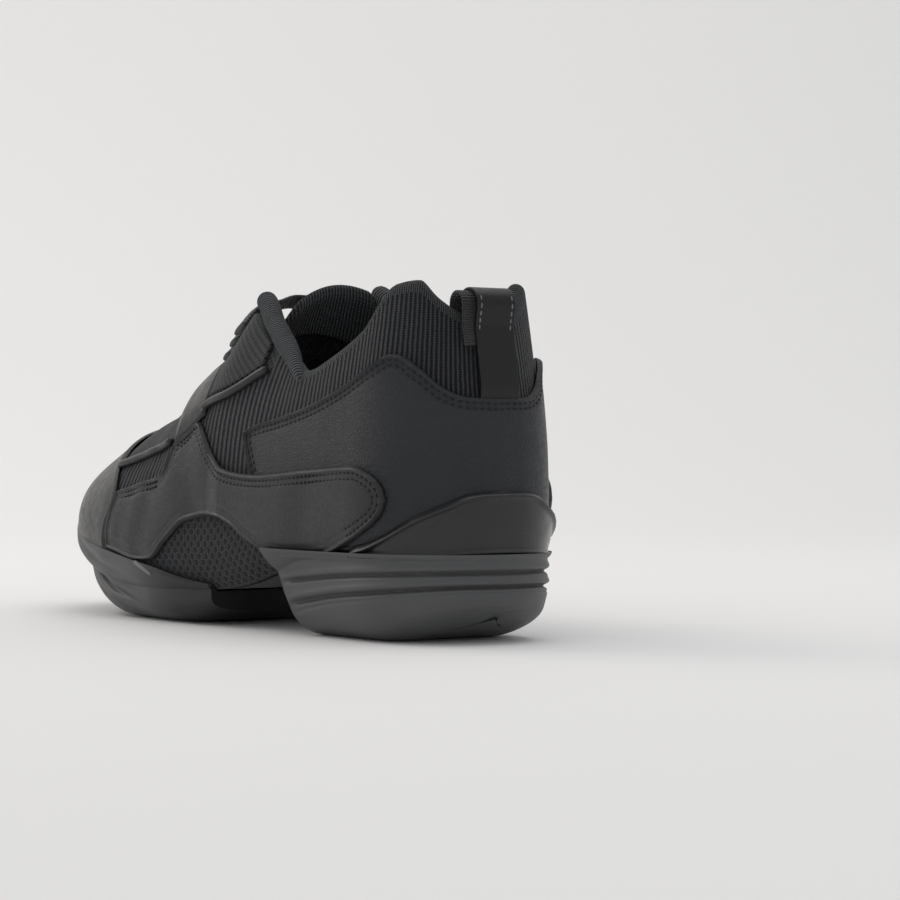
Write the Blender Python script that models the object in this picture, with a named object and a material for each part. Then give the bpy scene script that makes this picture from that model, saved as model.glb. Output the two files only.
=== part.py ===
"""Dance sneaker, left shoe, black: padded upper, split rubber sole, overlays, strap and laces.

Metres, +Z up, +Y to the toe, +X to the inner (medial) side of a left foot.
The origin is on the floor, on the flat spot under the heel.
"""
import math

import bmesh
import bpy
import numpy as np

# Driving sizes
MM = 0.001
LENGTH = 265 * MM          # heel seam to toe of the upper
BALL_HALF = 44 * MM        # half the upper's width at the ball
COLLAR_HEIGHT = 109 * MM   # highest point of the collar above the floor
HEEL_BED = 26 * MM         # floor to the foot bed at the heel
HEEL_REST_BACK = 38 * MM   # heel seam to the origin, on the flat spot of the heel
CLEAR = 0.4 * MM           # gap between pieces that touch
WALL = 2.2 * MM            # fabric and lining of the upper
COLLAR_PAD = 4.2 * MM      # what the padding adds to the wall at the collar
LEATHER = 1.3 * MM         # side panels, quarter, strap and toe cap
CUP_WALL = 1.5 * MM        # moulded heel cup
TOE_RISE = 20 * MM         # toe spring of the sole's underside at the tip
BOARD = 1.6 * MM           # lasting board
INSOLE = 3.0 * MM
TONGUE_THICK = 4.5 * MM
TONGUE_HALF = 20 * MM
TONGUE_TOP = 1.064 * COLLAR_HEIGHT
BAND_RADIUS = 3.5 * MM     # rolled band along the front of the collar
PIPING_RADIUS = 1.5 * MM
LACE_THICK = 1.9 * MM
LOOP_WIDTH = 14 * MM
LOOP_THICK = 1.3 * MM
EYESTAY_THICK = 1.0 * MM
STRAP_LIFT = 1.0 * MM      # the strap is puffed up off the upper
BED_INSET = 0.8 * MM       # extra room between the foot bed's layers and the curved wall
HEEL_BLOCK_END = 0.305     # share of LENGTH where the heel block ends at its top
HEEL_UNDERCUT = 15 * MM    # how far the block's foot stays behind its top at the front
HEEL_STRIKE = 0.12         # share of LENGTH over which the back of the tread rises
HEEL_STRIKE_RISE = 9 * MM
FORE_SOLE_START = 0.45
TONGUE_FRONT = 0.63        # shares of LENGTH between which the tongue lies under the throat
TONGUE_REAR = 0.435
TONGUE_DROP = 3.4 * MM     # tongue's top below the throat's edges
TONGUE_LEAN = 7 * MM       # set-back of the tongue's free top
TONGUE_BEND = 26 * MM      # radius of its bend from side to side
TONGUE_TAPER = 0.28        # loss of width from its front end to its top
TONGUE_SHIFT = 1.5 * MM    # its free top stands towards the inner side
TONGUE_TILT = 0.16         # and higher there, by this slope
# Lace bars: share of LENGTH, width, rise in the middle
LACE_BARS = ((0.458, 9 * MM, 6.0 * MM), (0.486, 6 * MM, 0.6 * MM), (0.511, 6 * MM, 0.4 * MM))
LOOP_TOP = 0.982 * COLLAR_HEIGHT
LOOP_INSET = 2.0 * MM      # the loop's inner leg from the lining
LOOP_INSIDE = 10 * MM      # how far the inner leg goes down below the collar's edge

# Section columns are counted from the heel seam (0) to the toe (COLUMNS)
COLUMNS = 44
THROAT_END = 25            # front end of the throat
STRAP_COLUMNS = (23, 26)   # rear and front edge of the instep strap

# Half widths are shares of BALL_HALF, feather heights of HEEL_BED, other heights of COLLAR_HEIGHT
SECTION_COLUMNS = ("share", "spine", "foot_l", "wide_l", "top_l", "foot_m", "wide_m", "top_m",
                   "feather", "wide_z", "top_z_l", "top_z_m", "lean")
SECTIONS = (
    (0.000, 0.00, 0.64, 0.75, 0.59, 0.54, 0.655, 0.58, 0.98, 0.39, 0.885, 0.885, 6),
    (0.020, 0.00, 0.64, 0.75, 0.58, 0.54, 0.655, 0.56, 0.98, 0.39, 0.94, 0.94, 6),
    (0.045, 0.00, 0.64, 0.75, 0.57, 0.54, 0.655, 0.55, 0.98, 0.39, 0.995, 0.995, 6),
    (0.080, 0.00, 0.64, 0.75, 0.59, 0.54, 0.655, 0.57, 0.98, 0.39, 0.985, 0.985, 8),
    (0.135, 0.00, 0.65, 0.76, 0.65, 0.55, 0.66, 0.61, 0.98, 0.38, 0.865, 0.87, 10),
    (0.200, 0.00, 0.66, 0.78, 0.69, 0.56, 0.68, 0.64, 0.96, 0.37, 0.79, 0.79, 12),
    (0.260, 0.00, 0.67, 0.81, 0.69, 0.57, 0.70, 0.65, 0.90, 0.35, 0.755, 0.76, 16),
    (0.313, 0.00, 0.69, 0.83, 0.62, 0.60, 0.72, 0.62, 0.76, 0.33, 0.80, 0.83, 24),
    (0.377, 0.00, 0.73, 0.85, 0.54, 0.59, 0.72, 0.58, 0.58, 0.31, 0.89, 0.95, 30),
    (0.435, 0.00, 0.76, 0.88, 0.44, 0.61, 0.75, 0.51, 0.49, 0.29, 0.97, 1.01, 36),
    (0.480, 0.00, 0.80, 0.91, 0.37, 0.66, 0.81, 0.39, 0.47, 0.275, 0.91, 0.93, 46),
    (0.520, 0.00, 0.83, 0.94, 0.33, 0.71, 0.86, 0.33, 0.46, 0.265, 0.84, 0.84, 54),
    (0.560, 0.00, 0.85, 0.96, 0.27, 0.76, 0.90, 0.27, 0.45, 0.26, 0.80, 0.80, 66),
    (0.600, 0.00, 0.87, 0.98, 0.00, 0.80, 0.94, 0.00, 0.45, 0.25, 0.775, 0.775, 88),
    (0.645, 0.00, 0.87, 0.99, 0.00, 0.83, 0.97, 0.00, 0.475, 0.25, 0.708, 0.708, 90),
    (0.690, 0.00, 0.87, 0.99, 0.00, 0.85, 0.99, 0.00, 0.51, 0.25, 0.675, 0.675, 90),
    (0.750, 0.02, 0.85, 0.97, 0.00, 0.86, 0.99, 0.00, 0.60, 0.255, 0.620, 0.620, 90),
    (0.800, 0.04, 0.81, 0.94, 0.00, 0.85, 0.98, 0.00, 0.70, 0.27, 0.575, 0.575, 90),
    (0.870, 0.09, 0.76, 0.88, 0.00, 0.83, 0.96, 0.00, 0.88, 0.30, 0.53, 0.53, 90),
    (0.930, 0.14, 0.72, 0.83, 0.00, 0.81, 0.94, 0.00, 1.00, 0.32, 0.51, 0.51, 90),
    (1.000, 0.18, 0.70, 0.81, 0.00, 0.80, 0.92, 0.00, 1.08, 0.335, 0.49, 0.49, 90),
)
# Backward lean of the heel seam: height as a share of COLLAR_HEIGHT, set-forward of LENGTH
BACK_CURVE = ((0.18, 0.009), (0.28, 0.004), (0.41, 0.000), (0.55, 0.003), (0.69, 0.011), (1.0, 0.034))

HEEL_ROUND = 0.125         # shares of LENGTH that the round ends take in plan
TOE_ROUND = 0.26
HEEL_LEAN_END = 0.16       # share of LENGTH where the lean of the heel seam has died out
TOE_TUCK = 0.0057          # set-back of the toe tip above and below its widest line, share of LENGTH
TOE_TUCK_Z = (0.35, 0.147)  # height of that line, and the height above it where the set-back is reached
TUCK_START = 0.9           # share of LENGTH where that set-back starts
THROAT_NARROWS = 0.50      # share of LENGTH where the throat starts to close
CROWN_START = 0.86         # share of LENGTH where the toe's crest turns down
FULL_FROM = 0.5            # shares of LENGTH between which the sections turn from steep to domed
FULL_OVER = 0.2
WIDEST_T = 0.28            # place of the widest line on the way from feather edge to top edge


def column_share(u):
    """Share of the length at a column place u from 0 to 1: dense at both round ends."""
    return (1 - np.cos(np.pi * u)) / 2


def smooth_curve(xs, ys, x):
    """Cubic through the points that never swings past them."""
    xs = np.asarray(xs, float)
    ys = np.asarray(ys, float)
    step = np.diff(xs)
    slope = np.diff(ys) / step
    tangent = np.zeros_like(ys)
    for i in range(1, len(xs) - 1):
        if slope[i - 1] * slope[i] > 0:
            w1 = 2 * step[i] + step[i - 1]
            w2 = step[i] + 2 * step[i - 1]
            tangent[i] = (w1 + w2) / (w1 / slope[i - 1] + w2 / slope[i])
    tangent[0] = slope[0]
    tangent[-1] = slope[-1]
    x = np.clip(x, xs[0], xs[-1])
    k = np.clip(np.searchsorted(xs, x, side="right") - 1, 0, len(xs) - 2)
    u = (x - xs[k]) / step[k]
    start = (1 + 2 * u) * (1 - u) ** 2 * ys[k] + u * (1 - u) ** 2 * step[k] * tangent[k]
    end = u * u * (3 - 2 * u) * ys[k + 1] + u * u * (u - 1) * step[k] * tangent[k + 1]
    return start + end


def section(name, s):
    """A column of SECTIONS at the length share s."""
    table = np.array(SECTIONS, float)
    return smooth_curve(table[:, 0], table[:, SECTION_COLUMNS.index(name)], s)


def bezier(p0, p1, p2, p3, u):
    return (1 - u) ** 3 * p0 + 3 * (1 - u) ** 2 * u * p1 + 3 * (1 - u) * u * u * p2 + u ** 3 * p3


def plan_cap(s):
    """Width factor that rounds the heel and the toe in plan."""
    heel = np.clip(1 - s / HEEL_ROUND, 0, 1)
    toe = np.clip((s - 1 + TOE_ROUND) / TOE_ROUND, 0, 1)
    return (1 - heel ** 2.25) ** (1 / 2.1) * (1 - toe ** 2.35) ** (1 / 2.2)


def fold(a):
    """Side (-1 lateral, +1 medial) and length share at the place a round the shoe.

    a runs 0 to 1 from the heel seam along the lateral side to the toe, and on to 2 back medially.
    """
    a = np.mod(a, 2.0)
    side = np.where(a < 1, -1.0, 1.0)
    return side, column_share(np.where(a < 1, a, 2 - a))


def surface(a, t):
    """Outside of the upper: a round the shoe, t from the feather edge (0) to the top edge (1)."""
    a = np.asarray(a, float)
    t = np.asarray(t, float)
    side, s = fold(a)
    lateral = side < 0
    cap = plan_cap(s)

    def sided(name):
        return np.where(lateral, section(name + "_l", s), section(name + "_m", s))

    foot = sided("foot") * BALL_HALF * cap
    wide = sided("wide") * BALL_HALF * cap
    top = sided("top") * BALL_HALF * cap
    throat_front = column_share(THROAT_END / COLUMNS)
    closing = np.clip((s - THROAT_NARROWS) / (throat_front - THROAT_NARROWS), 0, 1)
    top = np.where(s >= throat_front - 1e-9, 0.0, top * np.sqrt(1 - closing ** 3))
    feather_z = section("feather", s) * HEEL_BED
    wide_z = section("wide_z", s) * COLLAR_HEIGHT
    top_z = sided("top_z") * COLLAR_HEIGHT
    crown = np.clip((s - CROWN_START) / (1 - CROWN_START), 0, 1)
    low = wide_z + 0.10 * COLLAR_HEIGHT
    top_z = low + (top_z - low) * (1 - crown ** 2.4) ** (1 / 2.4)
    lean = np.radians(section("lean", s))
    u = np.clip(t / WIDEST_T, 0, 1)
    low_w = bezier(foot, foot + (wide - foot) * 0.75, wide, wide, u)
    low_z = bezier(feather_z, feather_z + (wide_z - feather_z) * 0.18,
                   wide_z - (wide_z - feather_z) * 0.45, wide_z, u)
    v = np.clip((t - WIDEST_T) / (1 - WIDEST_T), 0, 1)
    rise = top_z - wide_z
    full = np.clip((s - FULL_FROM) / FULL_OVER, 0, 1)
    pull = 0.35 * np.hypot(rise, wide - top) * (1 - full) + 0.55 * wide * full
    high_w = bezier(wide, wide, top + np.sin(lean) * pull, top, v)
    high_z = bezier(wide_z, wide_z + (0.42 + 0.16 * full) * rise, top_z - np.cos(lean) * pull, top_z, v)
    w = np.where(t < WIDEST_T, low_w, high_w)
    z = np.where(t < WIDEST_T, low_z, high_z)
    curve = np.array(BACK_CURVE)
    back = np.interp(z / COLLAR_HEIGHT, curve[:, 0], curve[:, 1]) * LENGTH
    back = back * np.clip(1 - s / HEEL_LEAN_END, 0, 1) ** 2
    middle, reach = TOE_TUCK_Z
    tuck = ((z / COLLAR_HEIGHT - middle) / reach) ** 2 * TOE_TUCK * LENGTH
    tuck = tuck * np.clip((s - TUCK_START) / (1 - TUCK_START), 0, 1) ** 2
    x = section("spine", s) * BALL_HALF + side * w
    return np.stack([x, s * LENGTH - HEEL_REST_BACK + back - tuck, z], -1)


def normal(a, t):
    """Outward unit normal of the surface, from small steps in a and t."""
    e = 0.01
    a = np.asarray(a, float)
    t = np.asarray(t, float)
    below_crest = np.minimum(t, 0.97)
    along = surface(a + e, below_crest) - surface(a - e, below_crest)
    up = surface(a, np.minimum(t + e, 1)) - surface(a, np.maximum(t - e, 0))
    n = np.cross(up, along)
    return n / np.maximum(np.linalg.norm(n, axis=-1, keepdims=True), 1e-12)


def skin(a, t, off):
    """The surface moved outward by off."""
    return surface(a, t) + normal(a, t) * np.asarray(off, float)[..., None]


def t_at(a, z):
    """t of the height z on the section at a."""
    a = np.asarray(a, float)
    z = np.broadcast_to(np.asarray(z, float), a.shape)
    ts = np.linspace(0, 1, 121)
    heights = surface(a[..., None] + 0 * ts, ts + 0 * a[..., None])[..., 2]
    out = np.empty(a.shape)
    for i in np.ndindex(a.shape):
        out[i] = np.interp(z[i], heights[i], ts)
    return out


def columns(first, last):
    """Column places from first to last (length shares), on the upper's own columns between them."""
    ends = [np.arccos(1 - 2 * v) / np.pi for v in (first, last)]
    inner = [i / COLUMNS for i in range(COLUMNS + 1)]
    gap = 0.25 / COLUMNS
    return np.array([ends[0]] + [u for u in inner if ends[0] + gap < u < ends[1] - gap] + [ends[1]])


# Materials and mesh helpers
def material(name, colour, roughness, metallic=0.0):
    made = bpy.data.materials.new(name)
    made.use_nodes = True
    shader = made.node_tree.nodes["Principled BSDF"]
    shader.inputs["Base Color"].default_value = (*colour, 1)
    shader.inputs["Roughness"].default_value = roughness
    shader.inputs["Metallic"].default_value = metallic
    return made


def add_object(name, points, faces, mat, weld=0.02 * MM):
    """One closed object: doubled points welded, flat slivers removed, faces turned outward."""
    mesh = bpy.data.meshes.new(name)
    mesh.from_pydata([tuple(p) for p in points], [], faces)
    bm = bmesh.new()
    bm.from_mesh(mesh)
    bmesh.ops.remove_doubles(bm, verts=bm.verts, dist=weld)
    bmesh.ops.dissolve_degenerate(bm, edges=bm.edges, dist=weld)
    bmesh.ops.delete(bm, geom=[e for e in bm.edges if not e.link_faces], context="EDGES")
    bmesh.ops.triangulate(bm, faces=bm.faces)
    bmesh.ops.recalc_face_normals(bm, faces=bm.faces)
    if bm.calc_volume(signed=True) < 0:
        bmesh.ops.reverse_faces(bm, faces=bm.faces)
    for face in bm.faces:
        face.smooth = True
    bm.to_mesh(mesh)
    bm.free()
    mesh.materials.append(mat)
    obj = bpy.data.objects.new(name, mesh)
    bpy.context.scene.collection.objects.link(obj)
    return obj


def sheet_solid(name, outer, inner, mat):
    """A closed sheet between two grids of points, joined along its four edges."""
    n, m = outer.shape[:2]
    points = np.concatenate([outer.reshape(-1, 3), inner.reshape(-1, 3)])
    base = n * m
    faces = []
    for i in range(n - 1):
        for j in range(m - 1):
            quad = (i * m + j, (i + 1) * m + j, (i + 1) * m + j + 1, i * m + j + 1)
            faces.append(quad)
            faces.append(tuple(base + k for k in reversed(quad)))
    ring = [i * m for i in range(n)] + [(n - 1) * m + j for j in range(1, m)]
    ring += [i * m + m - 1 for i in range(n - 2, -1, -1)] + [j for j in range(m - 2, 0, -1)]
    for k, here in enumerate(ring):
        there = ring[(k + 1) % len(ring)]
        faces.append((there, here, base + here, base + there))
    return add_object(name, points, faces, mat)


def loft(name, rings, mat):
    """A closed solid through closed rings of points, with a face on each end ring."""
    rings = np.asarray(rings)
    n, m = rings.shape[:2]
    faces = [tuple(reversed(range(m))), tuple((n - 1) * m + j for j in range(m))]
    for i in range(n - 1):
        for j in range(m):
            k = (j + 1) % m
            faces.append((i * m + j, i * m + k, (i + 1) * m + k, (i + 1) * m + j))
    return add_object(name, rings.reshape(-1, 3), faces, mat)


def frames_along(route):
    """Tangent and two cross directions at each point of a route, with no sudden turn."""
    tangent = np.gradient(route, axis=0)
    tangent /= np.linalg.norm(tangent, axis=1, keepdims=True)
    first = np.empty_like(route)
    guess = np.array([1.0, 0.0, 0.0]) if abs(tangent[0][0]) < 0.8 else np.array([0.0, 0.0, 1.0])
    for i, t in enumerate(tangent):
        guess = guess - t * (guess @ t)
        guess /= np.linalg.norm(guess)
        first[i] = guess
    return tangent, first, np.cross(tangent, first)


def rod(name, route, radius, mat, sides=8):
    """A round rod along the route, its ends drawn in to a dome."""
    tangent, first, second = frames_along(route)
    angles = 2 * np.pi * np.arange(sides) / sides
    rings = []
    for i in range(len(route)):
        ring = np.outer(np.cos(angles), first[i]) + np.outer(np.sin(angles), second[i])
        rings.append(route[i] + ring * radius)
    for end, sign in ((0, -1), (-1, 1)):
        tip = (rings[end] - route[end]) * 0.55 + route[end] + tangent[end] * radius * 0.6 * sign
        rings.insert(0 if end == 0 else len(rings), tip)
    return loft(name, rings, mat)


def patch(name, places, low, high, rows, off, thick, mat):
    """A panel on the upper: places round the shoe, low and high its edges' t at each place."""
    share = np.linspace(0, 1, rows)
    a = np.repeat(places[:, None], rows, axis=1)
    t = low[:, None] + (high - low)[:, None] * share
    return sheet_solid(name, skin(a, t, off + thick + 0 * t), skin(a, t, off + 0 * t), mat)


def sided_places(side, us):
    """Places round the shoe for column places us on one side."""
    return us if side < 0 else 2 - us


# Upper
T_ROWS = (0.0, 0.09, 0.18, 0.28, 0.38, 0.48, 0.58, 0.67, 0.76, 0.84, 0.92, 1.0)


def wall(a, t):
    """Wall of the upper: thin at the sole, padded round the collar, thin again at its rim."""
    side, s = fold(a)
    collar = np.clip((0.46 - s) / 0.08, 0, 1)
    rise = np.clip((t - 0.45) / 0.3, 0, 1)
    rim = np.clip((1 - t) / 0.12, 0, 1)
    return WALL + COLLAR_PAD * collar * rise ** 2 * (3 - 2 * rise) * (0.35 + 0.65 * rim)


def build_upper(mat):
    """One hollow wall: open at collar, throat and underneath, closed over the vamp."""
    count = 2 * COLUMNS
    a = np.repeat((np.arange(count) / COLUMNS)[:, None], len(T_ROWS), axis=1)
    t = np.repeat(np.array(T_ROWS)[None, :], count, axis=0)
    outer = surface(a, t)
    inner = skin(a, t, -wall(a, t))
    side, s = fold(a)
    closed = s[:, 0] >= column_share(THROAT_END / COLUMNS) - 1e-9
    spine = section("spine", s) * BALL_HALF
    inner[..., 0] = spine + side * np.maximum(side * (inner[..., 0] - spine), CLEAR * (1 - t))
    inner[COLUMNS, :, 0] = spine[COLUMNS]
    inner[0, :, 0] = 0.0
    for grid in (outer, inner):
        grid[closed, -1, 0] = section("spine", s[closed, 0]) * BALL_HALF
        mirror = (count - np.arange(count)) % count
        pair = (grid[:, -1] + grid[mirror][:, -1]) / 2
        grid[closed, -1] = pair[closed]
        grid[COLUMNS, -2] = grid[COLUMNS, -1]
    m = len(T_ROWS)
    points = np.concatenate([outer.reshape(-1, 3), inner.reshape(-1, 3)])
    base = count * m
    faces = []
    for i in range(count):
        k = (i + 1) % count
        for j in range(m - 1):
            quad = (i * m + j, i * m + j + 1, k * m + j + 1, k * m + j)
            faces.append(quad)
            faces.append(tuple(base + v for v in reversed(quad)))
        faces.append((i * m, k * m, base + k * m, base + i * m))
        if not (closed[i] and closed[k]):
            top = m - 1
            faces.append((k * m + top, i * m + top, base + i * m + top, base + k * m + top))
    return add_object("upper", points, faces, mat)


# Heights of panel edges: share of LENGTH, then share of COLLAR_HEIGHT
QUARTER_TOP = ((0.0, 0.685), (0.015, 0.69), (0.03, 0.74), (0.06, 0.80), (0.087, 0.815),
               (0.113, 0.80), (0.2, 0.69), (0.3, 0.635), (0.385, 0.60))
SIDE_TOP = ((0.070, 0.405), (0.085, 0.455), (0.11, 0.482), (0.145, 0.493), (0.30, 0.482), (0.37, 0.477),
            (0.40, 0.484), (0.434, 0.526), (0.481, 0.591), (0.506, 0.625), (0.53, 0.612), (0.57, 0.575),
            (0.59, 0.49), (0.61, 0.445), (0.676, 0.415), (0.715, 0.36))
SIDE_LOW = ((0.070, 0.395), (0.085, 0.33), (0.11, 0.30), (0.145, 0.285), (0.20, 0.275), (0.295, 0.275),
            (0.33, 0.282), (0.36, 0.297), (0.40, 0.322), (0.44, 0.337), (0.475, 0.332), (0.50, 0.312),
            (0.52, 0.28), (0.54, 0.245), (0.57, 0.225), (0.60, 0.23), (0.70, 0.255), (0.715, 0.26))
STRAP_LOW = ((0.50, 0.64), (0.53, 0.628), (0.57, 0.598), (0.59, 0.59), (0.61, 0.61), (0.642, 0.67))
PIPING_START = 0.005       # a piping starts this far along its line
EYESTAY_ENDS = (0.395, 0.522)
EYESTAY_TOP = 0.985        # place of its upper edge on the way to the throat's edge
BAND_ENDS = (0.275, 0.422)
PIPING_REAR = ((0.38, 0.80), (0.41, 0.776), (0.467, 0.731), (0.526, 0.695))
PIPING_FRONT = ((0.65, 0.545), (0.669, 0.53), (0.735, 0.494))
# Rear edge of the toe cap: share of the way from the rand to the crest, then share of LENGTH
TOE_REAR = ((0.0, 0.745), (0.3, 0.735), (0.6, 0.75), (0.8, 0.765), (1.0, 0.785))
CUP_TOP = ((0.0, 0.42), (0.02, 0.41), (0.034, 0.37), (0.06, 0.315), (0.1, 0.285), (0.125, 0.275))
HEEL_RAND = ((0.0, 0.252), (0.2, 0.252), (0.31, 0.255))
FORE_RAND = ((0.44, 0.13), (0.48, 0.14), (0.56, 0.175), (0.70, 0.225), (0.80, 0.26), (0.90, 0.315),
             (1.0, 0.335))
# Underside of the forefoot sole: share of LENGTH, then share of TOE_RISE
FORE_UNDER = ((0.44, 0.30), (0.50, 0.08), (0.56, 0.0), (0.70, 0.0), (0.79, 0.27), (0.86, 0.56),
              (0.93, 0.82), (1.0, 1.05))
# Sides of the soles: share of the side's height, then how far it stands out from the upper in mm
HEEL_STEPS = ((0.0, -7.5), (0.04, -3.0), (0.11, 0.9), (0.24, 3.7), (0.52, 5.2), (0.55, 4.3),
              (0.70, 5.0), (0.73, 4.1), (0.80, 4.7), (0.95, 4.6))
FORE_STEPS = ((0.0, -9.0), (0.06, -3.6), (0.16, -0.1), (0.40, 2.5), (0.60, 2.2), (0.72, 2.8), (0.90, 2.6))
SOLE_LIP = 2.2 * MM        # lip of the rands beyond the upper
TOE_SLIM = (0.62, 0.85, 0.45)  # shares of LENGTH between which the forefoot's steps shrink, and to what share


def edge_height(table, s):
    """Height of a panel edge at the length share s."""
    table = np.array(table)
    return smooth_curve(table[:, 0], table[:, 1], s) * COLLAR_HEIGHT


def place_t(places, table):
    """t of a panel edge at places round the shoe."""
    side, s = fold(places)
    return t_at(places, edge_height(table, s))


# Soles and foot bed
def flat_normal(a):
    """Outward direction of the feather edge in plan."""
    n = normal(a, np.full(np.shape(a), 0.04))
    n[..., 2] = 0
    return n / np.linalg.norm(n, axis=-1, keepdims=True)


def zipped(name, rings, mat, close_first, close_last):
    """A loft whose end ring is closed by a face, or is folded flat on itself and welded."""
    rings = np.asarray(rings)
    n, m = rings.shape[:2]
    faces = []
    if close_first:
        faces.append(tuple(reversed(range(m))))
    if close_last:
        faces.append(tuple((n - 1) * m + j for j in range(m)))
    for i in range(n - 1):
        for j in range(m):
            k = (j + 1) % m
            faces.append((i * m + j, i * m + k, (i + 1) * m + k, (i + 1) * m + j))
    return add_object(name, rings.reshape(-1, 3), faces, mat)


def sole_rings(first, last, rand, under, steps, lip, slim):
    """Cross rings of a sole unit that cups the upper: floor, stepped side, rand and foot bed."""
    rings = []
    for u in columns(first, last):
        s = column_share(u)
        low = under(s)
        size = slim(s)
        halves = []
        feather = []
        for side in (-1, 1):
            a = np.array(sided_places(side, u))
            high = edge_height(rand, s)
            t_rand = float(t_at(a, high))
            feather.append(surface(a, 0.0))
            out = flat_normal(a)
            cup = CLEAR * (1 + np.clip((s - 0.85) / 0.1, 0, 1))
            half = [skin(a, 0.0, cup) - np.array([0, 0, CLEAR])]
            half += [skin(a, t_rand * k, cup) for k in (0.25, 0.5, 0.75, 1.0)]
            half.append(skin(a, t_rand, lip * size))
            for share, off in reversed(steps):
                z = low + (high - low) * share
                point = surface(a, float(t_at(a, z))) + out * (off * size if off > 0 else off) * MM
                point[2] = z
                half.append(point)
            halves.append(half)
        middle = (feather[0] + feather[1]) / 2
        bed = middle - np.array([0, 0, 1.5 * CLEAR])
        floor = np.array([middle[0], middle[1], low])
        rings.append([bed] + halves[0] + [floor] + halves[1][::-1])
    return np.array(rings)


def build_soles(rubber):
    """Heel block and forefoot unit of the split sole."""
    rings = sole_rings(0.0, HEEL_BLOCK_END, HEEL_RAND, lambda s: 0.0, HEEL_STEPS, 2 * SOLE_LIP, lambda s: 1.0)
    y_share = (rings[..., 1] + HEEL_REST_BACK) / LENGTH
    height = np.clip(1 - rings[..., 2] / HEEL_BED, 0, 1)
    ramp = np.clip((y_share - 0.17) / (HEEL_BLOCK_END - 0.17), 0, 1)
    rings[..., 1] -= HEEL_UNDERCUT * height * ramp
    behind = np.clip(1 - y_share / HEEL_STRIKE, 0, 1)
    rings[..., 2] += HEEL_STRIKE_RISE * behind ** 1.6 * height ** 2
    zipped("heel_outsole", rings, rubber, False, True)
    table = np.array(FORE_UNDER)
    first, last, share = TOE_SLIM
    rings = sole_rings(FORE_SOLE_START, 1.0, FORE_RAND,
                       lambda s: float(smooth_curve(table[:, 0], table[:, 1], s)) * TOE_RISE,
                       FORE_STEPS, SOLE_LIP,
                       lambda s: 1 - (1 - share) * np.clip((s - first) / (last - first), 0, 1))
    zipped("forefoot_outsole", rings, rubber, True, False)


def bed_layer(name, low, thick, inset, mat):
    """A flat layer inside the upper's foot edge, following the foot bed."""
    rings = []
    for u in np.arange(0, COLUMNS + 1, 2) / COLUMNS:
        s = column_share(u)
        z = section("feather", s) * HEEL_BED + low
        ring = []
        for side in (-1, 1):
            a = np.array(sided_places(side, u))
            edge = surface(a, 0.0) - flat_normal(a) * inset
            if side < 0:
                ring += [(edge[0], edge[1], z), (edge[0], edge[1], z + thick)]
            else:
                ring += [(edge[0], edge[1], z + thick), (edge[0], edge[1], z)]
        rings.append(ring)
    return zipped(name, rings, mat, False, False)


# Panels of the upper
def wrap_places(u_end):
    """Places from the lateral side round the heel seam to the medial side."""
    inner = [i / COLUMNS for i in range(1, COLUMNS) if i / COLUMNS < u_end - 0.25 / COLUMNS]
    one = [-u_end] + [-u for u in reversed(inner)] + [0.0] + inner + [u_end]
    return -np.array(one)


def build_panels(leather, quarter_leather, cup_plastic, mesh):
    u_quarter = float(np.arccos(1 - 2 * QUARTER_TOP[-1][0]) / np.pi)
    places = wrap_places(u_quarter)
    side, s = fold(places)
    low = t_at(places, edge_height(HEEL_RAND, s) + 1.5 * CLEAR)
    low = np.where(s > 0.30, t_at(places, edge_height(SIDE_LOW, s) + 4 * MM), low)
    patch("quarter", places, low, place_t(places, QUARTER_TOP), 7, 1.5 * CLEAR, LEATHER, quarter_leather)
    u_cup = float(np.arccos(1 - 2 * CUP_TOP[-1][0]) / np.pi)
    places = wrap_places(u_cup)
    side, s = fold(places)
    low = t_at(places, edge_height(HEEL_RAND, s) + 3.5 * CLEAR)
    patch("heel_cup", places, low, place_t(places, CUP_TOP), 4, 2.5 * CLEAR + LEATHER, CUP_WALL, cup_plastic)
    for side, name in ((-1, "lateral"), (1, "medial")):
        us = columns(SIDE_TOP[0][0], SIDE_TOP[-1][0])
        places = sided_places(side, us)
        s = column_share(us)
        over = np.clip((0.44 - s) / 0.04, 0, 1)
        off = CLEAR + (LEATHER + 1.5 * CLEAR) * over * over * (3 - 2 * over)
        low = place_t(places, SIDE_LOW)
        share = np.linspace(0, 1, 6)
        a = np.repeat(places[:, None], 6, axis=1)
        t = low[:, None] + (place_t(places, SIDE_TOP) - low)[:, None] * share
        off = off[:, None] + 0 * t
        sheet_solid("side_panel_" + name, skin(a, t, off + LEATHER), skin(a, t, off), leather)
        us = columns(*EYESTAY_ENDS)
        places = sided_places(side, us)
        low = t_at(places, edge_height(PIPING_REAR, column_share(us)) + 2 * PIPING_RADIUS)
        patch("eyestay_" + name, places, low, 0 * low + EYESTAY_TOP, 4, 1.5 * CLEAR, EYESTAY_THICK, mesh)
        for part, line in (("rear", PIPING_REAR), ("front", PIPING_FRONT)):
            us = columns(line[0][0] + PIPING_START, line[-1][0])
            places = sided_places(side, us)
            t = place_t(places, line)
            rod("piping_" + part + "_" + name, skin(places, t, CLEAR + PIPING_RADIUS), PIPING_RADIUS,
                leather, 6)
    build_strap(leather)
    build_toe_cap(leather)


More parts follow.
